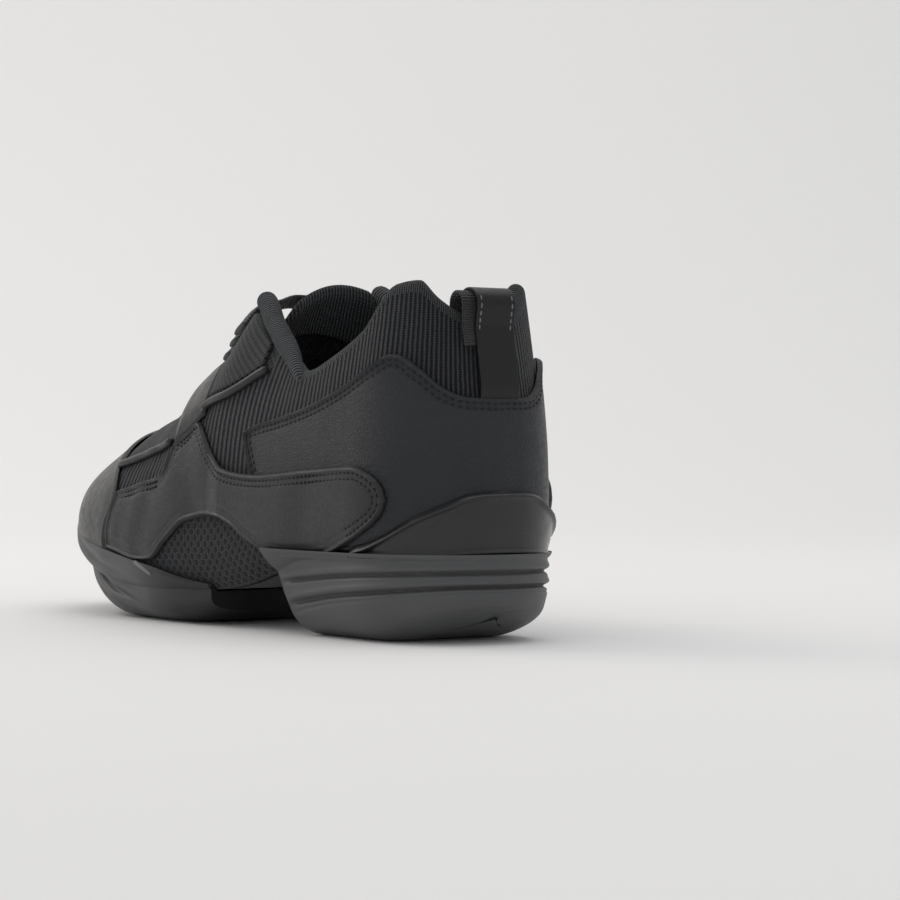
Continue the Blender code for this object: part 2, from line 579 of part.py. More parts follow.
def build_strap(mat):
    """Leather strap across the instep, from side panel to side panel, over the throat's front end."""
    us = np.arange(STRAP_COLUMNS[0], STRAP_COLUMNS[1] + 1) / COLUMNS
    rows = 10
    share = np.linspace(0, 1, rows)
    a_rows = []
    t_rows = []
    for side in (-1, 1):
        places = sided_places(side, us)
        low = place_t(places, STRAP_LOW)
        a = np.repeat(places[:, None], rows, axis=1)
        t = low[:, None] + (1 - low)[:, None] * share
        a_rows.append(a if side < 0 else a[:, ::-1])
        t_rows.append(t if side < 0 else t[:, ::-1])
    a = np.concatenate(a_rows, axis=1)
    t = np.concatenate(t_rows, axis=1)
    closed = column_share(us) >= column_share(THROAT_END / COLUMNS) - 1e-9
    sheets = []
    for off in (STRAP_LIFT + LEATHER, STRAP_LIFT):
        sheet = skin(a, t, off + 0 * t)
        crest = (sheet[closed, rows - 1] + sheet[closed, rows]) / 2
        sheet[closed, rows - 1] = crest
        sheet[closed, rows] = crest
        sheets.append(sheet)
    sheet_solid("instep_strap", *sheets, mat)


def build_toe_cap(mat):
    """Leather cap over the toe, above the sole's bumper."""
    rows = 8
    count = 12
    a_grid = []
    t_grid = []
    rear = np.array(TOE_REAR)
    for k in range(count + 1):
        u_share = k / count
        half_a = []
        half_t = []
        for j in range(rows + 1):
            share = j / rows
            s_rear = float(smooth_curve(rear[:, 0], rear[:, 1], share))
            u_rear = math.acos(1 - 2 * s_rear) / math.pi
            u = u_rear + (1 - u_rear) * u_share
            s = column_share(u)
            low = float(t_at(np.array(u), edge_height(FORE_RAND, s) + 2 * CLEAR))
            half_a.append(u)
            half_t.append(low + (1 - low) * share)
        a_grid.append(half_a + [2 - v for v in reversed(half_a[:-1])])
        t_grid.append(half_t + half_t[-2::-1])
    a = np.array(a_grid)
    t = np.array(t_grid)
    sheets = []
    for off in (1.4 * CLEAR + LEATHER, 1.4 * CLEAR):
        sheet = skin(a, t, off + 0 * t)
        sheet[:, rows, 0] = section("spine", column_share(a[:, rows])) * BALL_HALF
        flipped = sheet[-1, ::-1]
        sheet[-1] = (sheet[-1] + flipped) / 2
        sheets.append(sheet)
    n, m = sheets[0].shape[:2]
    base = n * m
    faces = []
    for i in range(n - 1):
        for j in range(m - 1):
            quad = (i * m + j, (i + 1) * m + j, (i + 1) * m + j + 1, i * m + j + 1)
            faces.append(quad)
            faces.append(tuple(base + v for v in reversed(quad)))
        for j in (0, m - 1):
            faces.append((i * m + j, (i + 1) * m + j, base + (i + 1) * m + j, base + i * m + j))
    for j in range(m - 1):
        faces.append((j, j + 1, base + j + 1, base + j))
    add_object("toe_cap", np.concatenate([g.reshape(-1, 3) for g in sheets]), faces, mat)


# Collar bands, tongue, laces and pull loop
def build_bands(mat):
    for side, name in ((-1, "lateral"), (1, "medial")):
        us = columns(*BAND_ENDS)
        places = sided_places(side, us)
        edge = surface(places, 1.0 + 0 * places)
        under = surface(places, 0.98 + 0 * places)
        up = (edge - under) / np.linalg.norm(edge - under, axis=1, keepdims=True)
        lift = up + 0.25 * normal(places, 1.0 + 0 * places)
        lift /= np.linalg.norm(lift, axis=1, keepdims=True)
        rod("collar_band_" + name, edge + lift * (BAND_RADIUS + 3.2 * CLEAR), BAND_RADIUS, mat)


def build_tongue(mat):
    """A padded sheet under the throat, from under the vamp up past the collar."""
    rows = 9
    across = 7
    upper_sheet = np.zeros((rows, across, 3))
    for i in range(rows):
        v = i / (rows - 1)
        s = TONGUE_FRONT + (TONGUE_REAR - TONGUE_FRONT) * min(v / 0.8, 1.0)
        crest = min(section("top_z_l", s), section("top_z_m", s)) * COLLAR_HEIGHT
        z = crest - TONGUE_DROP
        y = s * LENGTH - HEEL_REST_BACK
        if v > 0.8:
            z += (TONGUE_TOP - z) * (v - 0.8) / 0.2
            y -= TONGUE_LEAN * (v - 0.8) / 0.2
        above = max(v - 0.8, 0) / 0.2
        half = TONGUE_HALF * (1.0 - TONGUE_TAPER * v)
        for j in range(across):
            w = 2 * j / (across - 1) - 1
            x = w * half
            bend = x * x / (2 * TONGUE_BEND) - TONGUE_TILT * x * above
            upper_sheet[i, j] = (x + TONGUE_SHIFT * above, y - 0.4 * bend * (v > 0.8), z - bend)
    lower_sheet = upper_sheet - np.array([0, 0.35, 0.94]) * TONGUE_THICK
    sheet_solid("tongue", upper_sheet, lower_sheet, mat)


def build_laces(mat):
    """Flat lace bars from eyestay to eyestay over the throat."""
    for number, (s_mid, width, arch) in enumerate(LACE_BARS):
        half = width / LENGTH / 2 * 0.8
        us = np.arccos(1 - 2 * np.array([s_mid - half, s_mid, s_mid + half])) / np.pi
        ts = np.array([0.94, 0.975, 1.0])
        rows = []
        for side in (-1, 1):
            a = np.repeat(sided_places(side, us)[:, None], 3, axis=1)
            t = np.repeat(ts[None, :], 3, axis=0)
            row = skin(a, t, 2.5 * CLEAR + EYESTAY_THICK + 0 * t)
            rows.append(row if side < 0 else row[:, ::-1])
        middle = (rows[0][:, -1:] + rows[1][:, :1]) / 2
        middle[..., 1] += arch * 0.5
        middle[..., 2] += arch
        inner = np.concatenate([rows[0], middle, rows[1]], axis=1)
        out = np.array([0.0, 0.45, 0.89]) * LACE_THICK
        sheet_solid("lace_bar_%d" % (number + 1), inner + out, inner, mat)


def build_pull_loop(mat):
    """A ribbon that stands up from the heel seam, folds over and goes down inside the collar."""
    tab = surface(0.0, 1.0)
    low_t = float(t_at(np.array(0.0), edge_height(QUARTER_TOP, 0.0) + 2 * CLEAR))
    outside = [skin(0.0, t, 2 * CLEAR) for t in np.linspace(low_t, 1.0, 5)]
    inside_off = WALL + COLLAR_PAD * 0.35 + LOOP_INSET
    fold_y = (outside[-1][1] + tab[1] + inside_off) / 2
    fold_half = fold_y - outside[-1][1]
    route = [(p[1], p[2]) for p in outside]
    for k in range(1, 8):
        angle = math.pi - math.pi * k / 8
        height = LOOP_TOP - fold_half + fold_half * math.sin(angle)
        route.append((fold_y + fold_half * math.cos(angle), height))
    route.append((fold_y + fold_half, tab[2] - 2 * MM))
    route.append((fold_y + fold_half + 0.8 * MM, tab[2] - LOOP_INSIDE))
    route = np.array(route)
    tangent = np.gradient(route, axis=0)
    tangent /= np.linalg.norm(tangent, axis=1, keepdims=True)
    left = np.stack([-tangent[:, 1], tangent[:, 0]], -1)
    outer = route + left * LOOP_THICK
    rings = []
    for a, b in zip(outer, route):
        corners = ((-1, a), (1, a), (1, b), (-1, b))
        rings.append([(end * LOOP_WIDTH / 2, *point) for end, point in corners])
    zipped("pull_loop", rings, mat, True, True)

def main():
    for old in list(bpy.data.objects):
        bpy.data.objects.remove(old, do_unlink=True)
    fabric = material("ribbed_fabric", (0.025, 0.027, 0.03), 0.9)
    leather = material("smooth_leather", (0.045, 0.045, 0.047), 0.45)
    grained = material("grained_leather", (0.035, 0.036, 0.038), 0.5)
    rubber = material("sole_rubber", (0.04, 0.04, 0.042), 0.45)
    cup = material("cup_rubber", (0.03, 0.03, 0.032), 0.3)
    mesh = material("holed_mesh", (0.03, 0.031, 0.033), 0.85)
    webbing = material("woven_band", (0.028, 0.03, 0.033), 0.85)
    board = material("board_fabric", (0.018, 0.02, 0.035), 0.9)
    ribbon = material("loop_leather", (0.03, 0.03, 0.032), 0.5)
    build_upper(fabric)
    build_soles(rubber)
    bed_layer("lasting_board", 0.0, BOARD, WALL + CLEAR + BED_INSET, board)
    bed_layer("insole", BOARD + CLEAR, INSOLE, WALL + CLEAR + BED_INSET, mesh)
    build_panels(leather, grained, cup, mesh)
    build_bands(webbing)
    build_tongue(mesh)
    build_laces(webbing)
    build_pull_loop(ribbon)


main()
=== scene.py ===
"""Looks of the black dance sneaker: left shoe, split sole, leather panels over ribbed fabric and mesh."""
import math
import bmesh
import bpy
import numpy as np
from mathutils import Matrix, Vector


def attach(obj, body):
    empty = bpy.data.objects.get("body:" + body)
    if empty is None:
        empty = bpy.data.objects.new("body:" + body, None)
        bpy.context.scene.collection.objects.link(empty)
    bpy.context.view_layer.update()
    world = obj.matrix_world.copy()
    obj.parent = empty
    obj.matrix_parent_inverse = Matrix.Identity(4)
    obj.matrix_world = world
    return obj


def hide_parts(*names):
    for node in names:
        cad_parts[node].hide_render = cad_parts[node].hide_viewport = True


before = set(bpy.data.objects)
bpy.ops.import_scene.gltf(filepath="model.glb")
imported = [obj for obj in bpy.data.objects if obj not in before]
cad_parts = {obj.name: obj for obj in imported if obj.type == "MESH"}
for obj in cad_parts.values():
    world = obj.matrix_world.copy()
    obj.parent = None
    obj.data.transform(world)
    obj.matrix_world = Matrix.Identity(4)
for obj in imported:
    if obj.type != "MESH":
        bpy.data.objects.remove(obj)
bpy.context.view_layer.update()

# Upper
# One padded wall on the last: ribbed knit at the collar and quarters, holed mesh over the vamp and in
# the side window, knit lining inside. It is lasted to the board and carries every other panel.
MM = 0.001
LENGTH = 265 * MM
BALL_HALF = 44 * MM            # half the width at the ball
COLLAR_HEIGHT = 109 * MM
HEEL_BED = 26 * MM             # foot edge over the floor at the heel
HEEL_REST_BACK = 38 * MM       # the heel lies this far behind the origin
WALL = 2.2 * MM
COLLAR_PAD = 3.57 * MM         # what the padding adds to the wall at the collar
THROAT_FRONT = (1 - math.cos(math.pi * 25 / 44)) / 2  # share of length where the throat closes
WIDEST_T = 0.28                # t of a section's widest line
SECTION_COLUMNS = ("share", "spine", "foot_l", "wide_l", "top_l", "foot_m", "wide_m", "top_m",
                   "feather", "wide_z", "top_z_l", "top_z_m", "lean")
SECTIONS = np.array((
    (0.000, 0.00, 0.64, 0.75, 0.59, 0.54, 0.655, 0.58, 0.98, 0.39, 0.885, 0.885, 6),
    (0.020, 0.00, 0.64, 0.75, 0.58, 0.54, 0.655, 0.56, 0.98, 0.39, 0.94, 0.94, 6),
    (0.045, 0.00, 0.64, 0.75, 0.57, 0.54, 0.655, 0.55, 0.98, 0.39, 0.995, 0.995, 6),
    (0.080, 0.00, 0.64, 0.75, 0.59, 0.54, 0.655, 0.57, 0.98, 0.39, 0.985, 0.985, 8),
    (0.135, 0.00, 0.65, 0.76, 0.65, 0.55, 0.66, 0.61, 0.98, 0.38, 0.865, 0.87, 10),
    (0.200, 0.00, 0.66, 0.78, 0.69, 0.56, 0.68, 0.64, 0.96, 0.37, 0.79, 0.79, 12),
    (0.260, 0.00, 0.67, 0.81, 0.69, 0.57, 0.70, 0.65, 0.90, 0.35, 0.755, 0.76, 16),
    (0.313, 0.00, 0.69, 0.83, 0.62, 0.60, 0.72, 0.62, 0.76, 0.33, 0.80, 0.83, 24),
    (0.377, 0.00, 0.73, 0.85, 0.54, 0.59, 0.72, 0.58, 0.58, 0.31, 0.89, 0.95, 30),
    (0.435, 0.00, 0.76, 0.88, 0.44, 0.61, 0.75, 0.51, 0.49, 0.29, 0.97, 1.01, 36),
    (0.480, 0.00, 0.80, 0.91, 0.37, 0.66, 0.81, 0.39, 0.47, 0.275, 0.91, 0.93, 46),
    (0.520, 0.00, 0.83, 0.94, 0.33, 0.71, 0.86, 0.33, 0.46, 0.265, 0.84, 0.84, 54),
    (0.560, 0.00, 0.85, 0.96, 0.27, 0.76, 0.90, 0.27, 0.45, 0.26, 0.80, 0.80, 66),
    (0.600, 0.00, 0.87, 0.98, 0.00, 0.80, 0.94, 0.00, 0.45, 0.25, 0.775, 0.775, 88),
    (0.645, 0.00, 0.87, 0.99, 0.00, 0.83, 0.97, 0.00, 0.475, 0.25, 0.708, 0.708, 90),
    (0.690, 0.00, 0.87, 0.99, 0.00, 0.85, 0.99, 0.00, 0.51, 0.25, 0.675, 0.675, 90),
    (0.750, 0.02, 0.85, 0.97, 0.00, 0.86, 0.99, 0.00, 0.60, 0.255, 0.620, 0.620, 90),
    (0.800, 0.04, 0.81, 0.94, 0.00, 0.85, 0.98, 0.00, 0.70, 0.27, 0.575, 0.575, 90),
    (0.870, 0.09, 0.76, 0.88, 0.00, 0.83, 0.96, 0.00, 0.88, 0.30, 0.53, 0.53, 90),
    (0.930, 0.14, 0.72, 0.83, 0.00, 0.81, 0.94, 0.00, 1.00, 0.32, 0.51, 0.51, 90),
    (1.000, 0.18, 0.70, 0.81, 0.00, 0.80, 0.92, 0.00, 1.08, 0.335, 0.49, 0.49, 90)), float)
# Set-back of the heel seam by height, in shares of collar height and length
BACK_CURVE = np.array(((0.18, 0.009), (0.28, 0.004), (0.41, 0.000), (0.55, 0.003), (0.69, 0.011),
                       (1.0, 0.034)))
HEEL_ROUND = 0.125             # shares of length in which the plan closes at heel and toe
TOE_ROUND = 0.26
TOE_TUCK = 0.0057              # set-back of the tip above and below its foremost line, share of length


def smooth_curve(table, x):
    """Cubic through the rows (place, value) of a table, which never swings past them."""
    xs, ys = np.asarray(table, float).T
    step = np.diff(xs)
    slope = np.diff(ys) / step
    w1 = 2 * step[1:] + step[:-1]
    w2 = step[1:] + 2 * step[:-1]
    same = slope[:-1] * slope[1:] > 0
    safe = np.where(same, slope[:-1] * slope[1:], 1.0)
    inner = np.where(same, (w1 + w2) * safe / (w1 * slope[1:] + w2 * slope[:-1] + 1e-30 * ~same), 0.0)
    tangent = np.concatenate([slope[:1], inner, slope[-1:]])
    x = np.clip(x, xs[0], xs[-1])
    k = np.clip(np.searchsorted(xs, x, side="right") - 1, 0, len(xs) - 2)
    u = (x - xs[k]) / step[k]
    return ((1 + 2 * u) * (1 - u) ** 2 * ys[k] + u * (1 - u) ** 2 * step[k] * tangent[k]
            + u * u * (3 - 2 * u) * ys[k + 1] + u * u * (u - 1) * step[k] * tangent[k + 1])


def section(name, s):
    """A column of SECTIONS at the length share s."""
    return smooth_curve(SECTIONS[:, (0, SECTION_COLUMNS.index(name))], s)


def bezier(p0, p1, p2, p3, u):
    """Cubic from p0 to p3, drawn towards p1 and p2."""
    return (1 - u) ** 3 * p0 + 3 * (1 - u) ** 2 * u * p1 + 3 * (1 - u) * u * u * p2 + u ** 3 * p3


def fold(a):
    """a runs 0 to 1 from heel seam to toe on the outer side, on to 2 back on the inner: side and share."""
    a = np.mod(a, 2.0)
    return np.where(a < 1, -1.0, 1.0), (1 - np.cos(np.pi * np.where(a < 1, a, 2 - a))) / 2


def surface(a, t):
    """Outside of the upper. Each cross section is two cubics: feather edge to widest line, and on to the
    top edge; widths shrink to nothing at heel and toe as superellipses; the heel seam leans by a table."""
    a, t = np.broadcast_arrays(np.asarray(a, float), np.asarray(t, float))
    side, s = fold(a)

    def sided(name):
        return np.where(side < 0, section(name + "_l", s), section(name + "_m", s))

    heel = np.clip(1 - s / HEEL_ROUND, 0, 1)
    toe = np.clip((s - 1 + TOE_ROUND) / TOE_ROUND, 0, 1)
    cap = BALL_HALF * (1 - heel ** 2.25) ** (1 / 2.1) * (1 - toe ** 2.35) ** (1 / 2.2)
    foot, wide, top = (sided(n) * cap for n in ("foot", "wide", "top"))
    closing = np.clip((s - 0.50) / (THROAT_FRONT - 0.50), 0, 1)
    top = np.where(s >= THROAT_FRONT - 1e-9, 0.0, top * np.sqrt(1 - closing ** 3))
    feather_z = section("feather", s) * HEEL_BED
    wide_z = section("wide_z", s) * COLLAR_HEIGHT
    crown = np.clip((s - 0.86) / 0.14, 0, 1)
    low = wide_z + 0.10 * COLLAR_HEIGHT
    top_z = low + (sided("top_z") * COLLAR_HEIGHT - low) * (1 - crown ** 2.4) ** (1 / 2.4)
    lean = np.radians(section("lean", s))
    u = np.clip(t / WIDEST_T, 0, 1)
    v = np.clip((t - WIDEST_T) / (1 - WIDEST_T), 0, 1)
    rise = top_z - wide_z
    full = np.clip((s - 0.5) / 0.2, 0, 1)
    pull = 0.35 * np.hypot(rise, wide - top) * (1 - full) + 0.55 * wide * full
    w = np.where(t < WIDEST_T, bezier(foot, foot + (wide - foot) * 0.75, wide, wide, u),
                 bezier(wide, wide, top + np.sin(lean) * pull, top, v))
    z = np.where(t < WIDEST_T,
                 bezier(feather_z, feather_z + (wide_z - feather_z) * 0.18,
                        wide_z - (wide_z - feather_z) * 0.45, wide_z, u),
                 bezier(wide_z, wide_z + (0.42 + 0.16 * full) * rise,
                        top_z - np.cos(lean) * pull, top_z, v))
    back = (np.interp(z / COLLAR_HEIGHT, BACK_CURVE[:, 0], BACK_CURVE[:, 1]) * LENGTH
            * np.clip(1 - s / 0.16, 0, 1) ** 2)
    tuck = (((z / COLLAR_HEIGHT - 0.35) / 0.147) ** 2 * TOE_TUCK * LENGTH
            * np.clip((s - 0.9) / 0.1, 0, 1) ** 2)
    return np.stack([section("spine", s) * BALL_HALF + side * w,
                     s * LENGTH - HEEL_REST_BACK + back - tuck, z], -1)


def unit(vectors):
    """Vectors of length one, each divided by its own length."""
    return vectors / np.linalg.norm(vectors, axis=-1, keepdims=True)


def travelled(points):
    """Running sum of the steps between points, from 0, for one line of points or for each row of a grid."""
    steps = np.linalg.norm(np.diff(points, axis=-2), axis=-1)
    return np.concatenate([np.zeros(steps.shape[:-1] + (1,)), np.cumsum(steps, axis=-1)], -1)


def normal(a, t):
    """Outward unit normal, the cross product of small steps up and along the surface."""
    e = 0.008
    below_crest = np.minimum(t, 0.97)
    along = surface(a + e, below_crest) - surface(a - e, below_crest)
    up = surface(a, np.minimum(t + e, 1)) - surface(a, np.maximum(t - e, 0))
    n = np.cross(up, along)
    return n / np.maximum(np.linalg.norm(n, axis=-1, keepdims=True), 1e-12)


def skin(a, t, off):
    """The surface moved outward by off."""
    a, t, off = np.broadcast_arrays(np.asarray(a, float), np.asarray(t, float), np.asarray(off, float))
    return surface(a, t) + normal(a, t) * off[..., None]


def t_at(a, z):
    """t at which each section reaches the height z."""
    a, z = np.broadcast_arrays(np.asarray(a, float), np.asarray(z, float))
    ts = np.linspace(0, 1, 161)
    heights = surface(a.reshape(-1, 1), ts[None, :])[..., 2]
    found = [np.interp(want, row, ts) for want, row in zip(z.ravel(), heights)]
    return np.array(found).reshape(a.shape)


def place_of(s, side=-1):
    """Place round the shoe of the length share s on one side."""
    u = np.arccos(1 - 2 * np.clip(s, 0, 1)) / np.pi
    return u if side < 0 else 2 - u


def grid_faces(n, m, start=0, flip=False):
    """Four-sided faces of an n by m grid of points, as one array."""
    i, j = np.meshgrid(np.arange(n - 1), np.arange(m - 1), indexing="ij")
    k = start + i * m + j
    quads = np.stack([k, k + m, k + m + 1, k + 1], -1).reshape(-1, 4)
    return quads[:, ::-1] if flip else quads


def put_mesh(name, points, faces, mats, uv=None, kind=None, sharp=None, nodes=(), merge=4e-6):
    """A piece from whole arrays: doubles merged, faces turned outward. uv is given per point, kind is the
    material of each face, sharp the angle from which edges stay hard."""
    mesh = bpy.data.meshes.new(name)
    points = np.asarray(points, float).reshape(-1, 3)
    mesh.from_pydata(points.tolist(), [], [list(f) for f in faces])
    for mat in mats:
        mesh.materials.append(mat)
    if kind is not None:
        mesh.polygons.foreach_set("material_index", np.asarray(kind, np.int32))
    if uv is not None:
        corners = np.empty(len(mesh.loops), np.int32)
        mesh.loops.foreach_get("vertex_index", corners)
        layer = mesh.uv_layers.new(name="cloth")
        layer.data.foreach_set("uv", np.asarray(uv, float).reshape(-1, 2)[corners].ravel())
    bm = bmesh.new()
    bm.from_mesh(mesh)
    bmesh.ops.remove_doubles(bm, verts=bm.verts, dist=merge)
    bmesh.ops.dissolve_degenerate(bm, edges=bm.edges, dist=merge)
    bmesh.ops.recalc_face_normals(bm, faces=bm.faces)
    if bm.calc_volume(signed=True) < 0:
        bmesh.ops.reverse_faces(bm, faces=bm.faces)
    bm.to_mesh(mesh)
    bm.free()
    mesh.shade_smooth()
    if sharp:
        mesh.set_sharp_from_angle(angle=math.radians(sharp))
    piece = bpy.data.objects.new(name, mesh)
    bpy.context.scene.collection.objects.link(piece)
    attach(piece, "root")
    if nodes:
        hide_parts(*nodes)
    return piece


def linear(colour):
    """Linear colour of an sRGB hex value."""
    v = np.array([int(colour[i:i + 2], 16) for i in (1, 3, 5)]) / 255
    return (*np.where(v <= 0.04045, v / 12.92, ((v + 0.055) / 1.055) ** 2.4), 1.0)


def add(mat, kind, settings=(), **inputs):
    """Adds a node: settings are its properties; inputs are values or other nodes' outputs, by socket."""
    made = mat.node_tree.nodes.new("ShaderNode" + kind)
    for key, value in settings:
        setattr(made, key, value)
    for key, value in inputs.items():
        socket = made.inputs[int(key[1:])] if key[1:].isdigit() else made.inputs[key.replace("_", " ")]
        if isinstance(value, bpy.types.NodeSocket):
            mat.node_tree.links.new(value, socket)
        else:
            socket.default_value = value
    return made


def start_material(name, roughness, **sockets):
    """A Principled material with its uniform values set on the shader's own sockets."""
    mat = bpy.data.materials.new(name)
    mat.use_nodes = True
    shader = mat.node_tree.nodes["Principled BSDF"]
    shader.inputs["Roughness"].default_value = roughness
    for key, value in sockets.items():
        shader.inputs[key.replace("_", " ")].default_value = value
    return mat, shader


def finish_material(mat, shader, height, depth, low, high, mask=None):
    """Bump of the given depth from a height pattern, and colour from low to high along it or a mask."""
    links = mat.node_tree.links
    bump = add(mat, "Bump", Height=height, Distance=depth, Strength=1.0)
    links.new(bump.outputs["Normal"], shader.inputs["Normal"])
    mix = add(mat, "Mix", (("data_type", "RGBA"),), i0=mask or height, i6=linear(low), i7=linear(high))
    links.new(mix.outputs[2], shader.inputs["Base Color"])


def maths(mat, operation, first, second=0.0, third=0.0):
    """Output of a Math node."""
    return add(mat, "Math", (("operation", operation),), i0=first, i1=second, i2=third).outputs[0]


def cloth_axes(mat):
    """The piece's own map, in millimetres along and up."""
    uv = add(mat, "UVMap", (("uv_map", "cloth"),))
    apart = add(mat, "SeparateXYZ", i0=uv.outputs[0])
    return uv.outputs[0], apart.outputs[0], apart.outputs[1]


def ribbed_knit(name, low, high, pitch=2.3):
    """Knit with soft upright ribs: a raised sine across them, broken into threads along them. The eye gets
    even dull lines with a faint hairy light on their crests. The colour follows the height: painted shade in
    the grooves and a painted highlight on the crests, with random tone from the fuzz. Threads are drawn
    coarser than real ones."""
    mat, shader = start_material(name, 0.82, Sheen_Weight=0.12, Sheen_Roughness=0.4, Specular_IOR_Level=0.3)
    uv, along, up = cloth_axes(mat)
    wander = add(mat, "TexNoise", Vector=uv, Scale=0.35, Detail=2.0).outputs[0]
    bent = maths(mat, "MULTIPLY_ADD", wander, 0.5, along)
    wave = maths(mat, "SINE", maths(mat, "MULTIPLY", bent, 2 * math.pi / pitch))
    rib = maths(mat, "MULTIPLY_ADD", wave, 0.5, 0.5)
    thread = maths(mat, "SINE", maths(mat, "MULTIPLY", up, 2 * math.pi / 0.75))
    fuzz = add(mat, "TexNoise", Vector=uv, Scale=2.2, Detail=3.0, Roughness=0.7).outputs[0]
    broken = maths(mat, "MULTIPLY_ADD", thread, 0.13, maths(mat, "MULTIPLY_ADD", fuzz, 0.75, -0.37))
    height = maths(mat, "ADD", rib, broken)
    # Colour mask from the height: painted shade in the grooves, painted highlight on the crests.
    painted_groove_shade = maths(mat, "MULTIPLY", maths(mat, "POWER", maths(mat, "MAXIMUM", height, 0.0), 2.6), 0.8)
    finish_material(mat, shader, height, 0.55 * MM, low, high, painted_groove_shade)
    return mat


def holed_mesh(name, low, high, pitch_along, pitch_up, open_share):
    """Mesh with staggered round holes: the product of two cosines is high in the holes. The eye gets a dull
    net over near black dots; the near black of the holes is painted shade inside them, and the net's colour
    varies at random with the fuzz."""
    mat, shader = start_material(name, 0.85, Sheen_Weight=0.15, Specular_IOR_Level=0.3)
    uv, along, up = cloth_axes(mat)
    waves = [maths(mat, "COSINE", maths(mat, "MULTIPLY", axis, math.pi / pitch))
             for axis, pitch in ((along, pitch_along), (up, pitch_up))]
    product = maths(mat, "MULTIPLY", *waves)
    solid = add(mat, "MapRange", (("interpolation_type", "SMOOTHSTEP"),), Value=product,
                From_Min=1 - open_share, From_Max=1 - open_share - 0.3, To_Min=0.0, To_Max=1.0).outputs[0]
    fuzz = add(mat, "TexNoise", Vector=uv, Scale=1.6, Detail=4.0, Roughness=0.7).outputs[0]
    height = maths(mat, "MULTIPLY", solid, maths(mat, "MULTIPLY_ADD", fuzz, 0.35, 1 - 0.35))
    # Colour follows the height: painted shade in the holes, random tone on the net.
    finish_material(mat, shader, height, 0.9 * MM, low, high)
    return mat


TOE_COLUMN = 180               # columns of points from heel to toe
ROWS = 64                      # rows of points up the wall
ROUND = 8                      # steps round the lip at the collar
KNIT_END = 0.345               # share of length where knit gives way to the vamp's mesh
WINDOW_ENDS = (0.27, 0.60)
# Lines as shares of length and of collar height
PIPING_LINE = ((0.33, 0.80), (0.344, 0.787), (0.363, 0.769), (0.393, 0.736), (0.424, 0.709),
               (0.47, 0.684), (0.50, 0.65), (0.555, 0.569), (0.629, 0.525), (0.707, 0.489), (0.82, 0.45))
WINDOW_TOP = ((0.27, 0.28), (0.33, 0.31), (0.44, 0.37), (0.50, 0.345), (0.58, 0.24))


def wall_thickness(s, t):
    """Thin at the sole, padded round the collar."""
    collar = np.clip((0.46 - s) / 0.08, 0, 1)
    rise = np.clip((t - 0.45) / 0.3, 0, 1)
    return WALL + COLLAR_PAD * collar * rise ** 2 * (3 - 2 * rise)


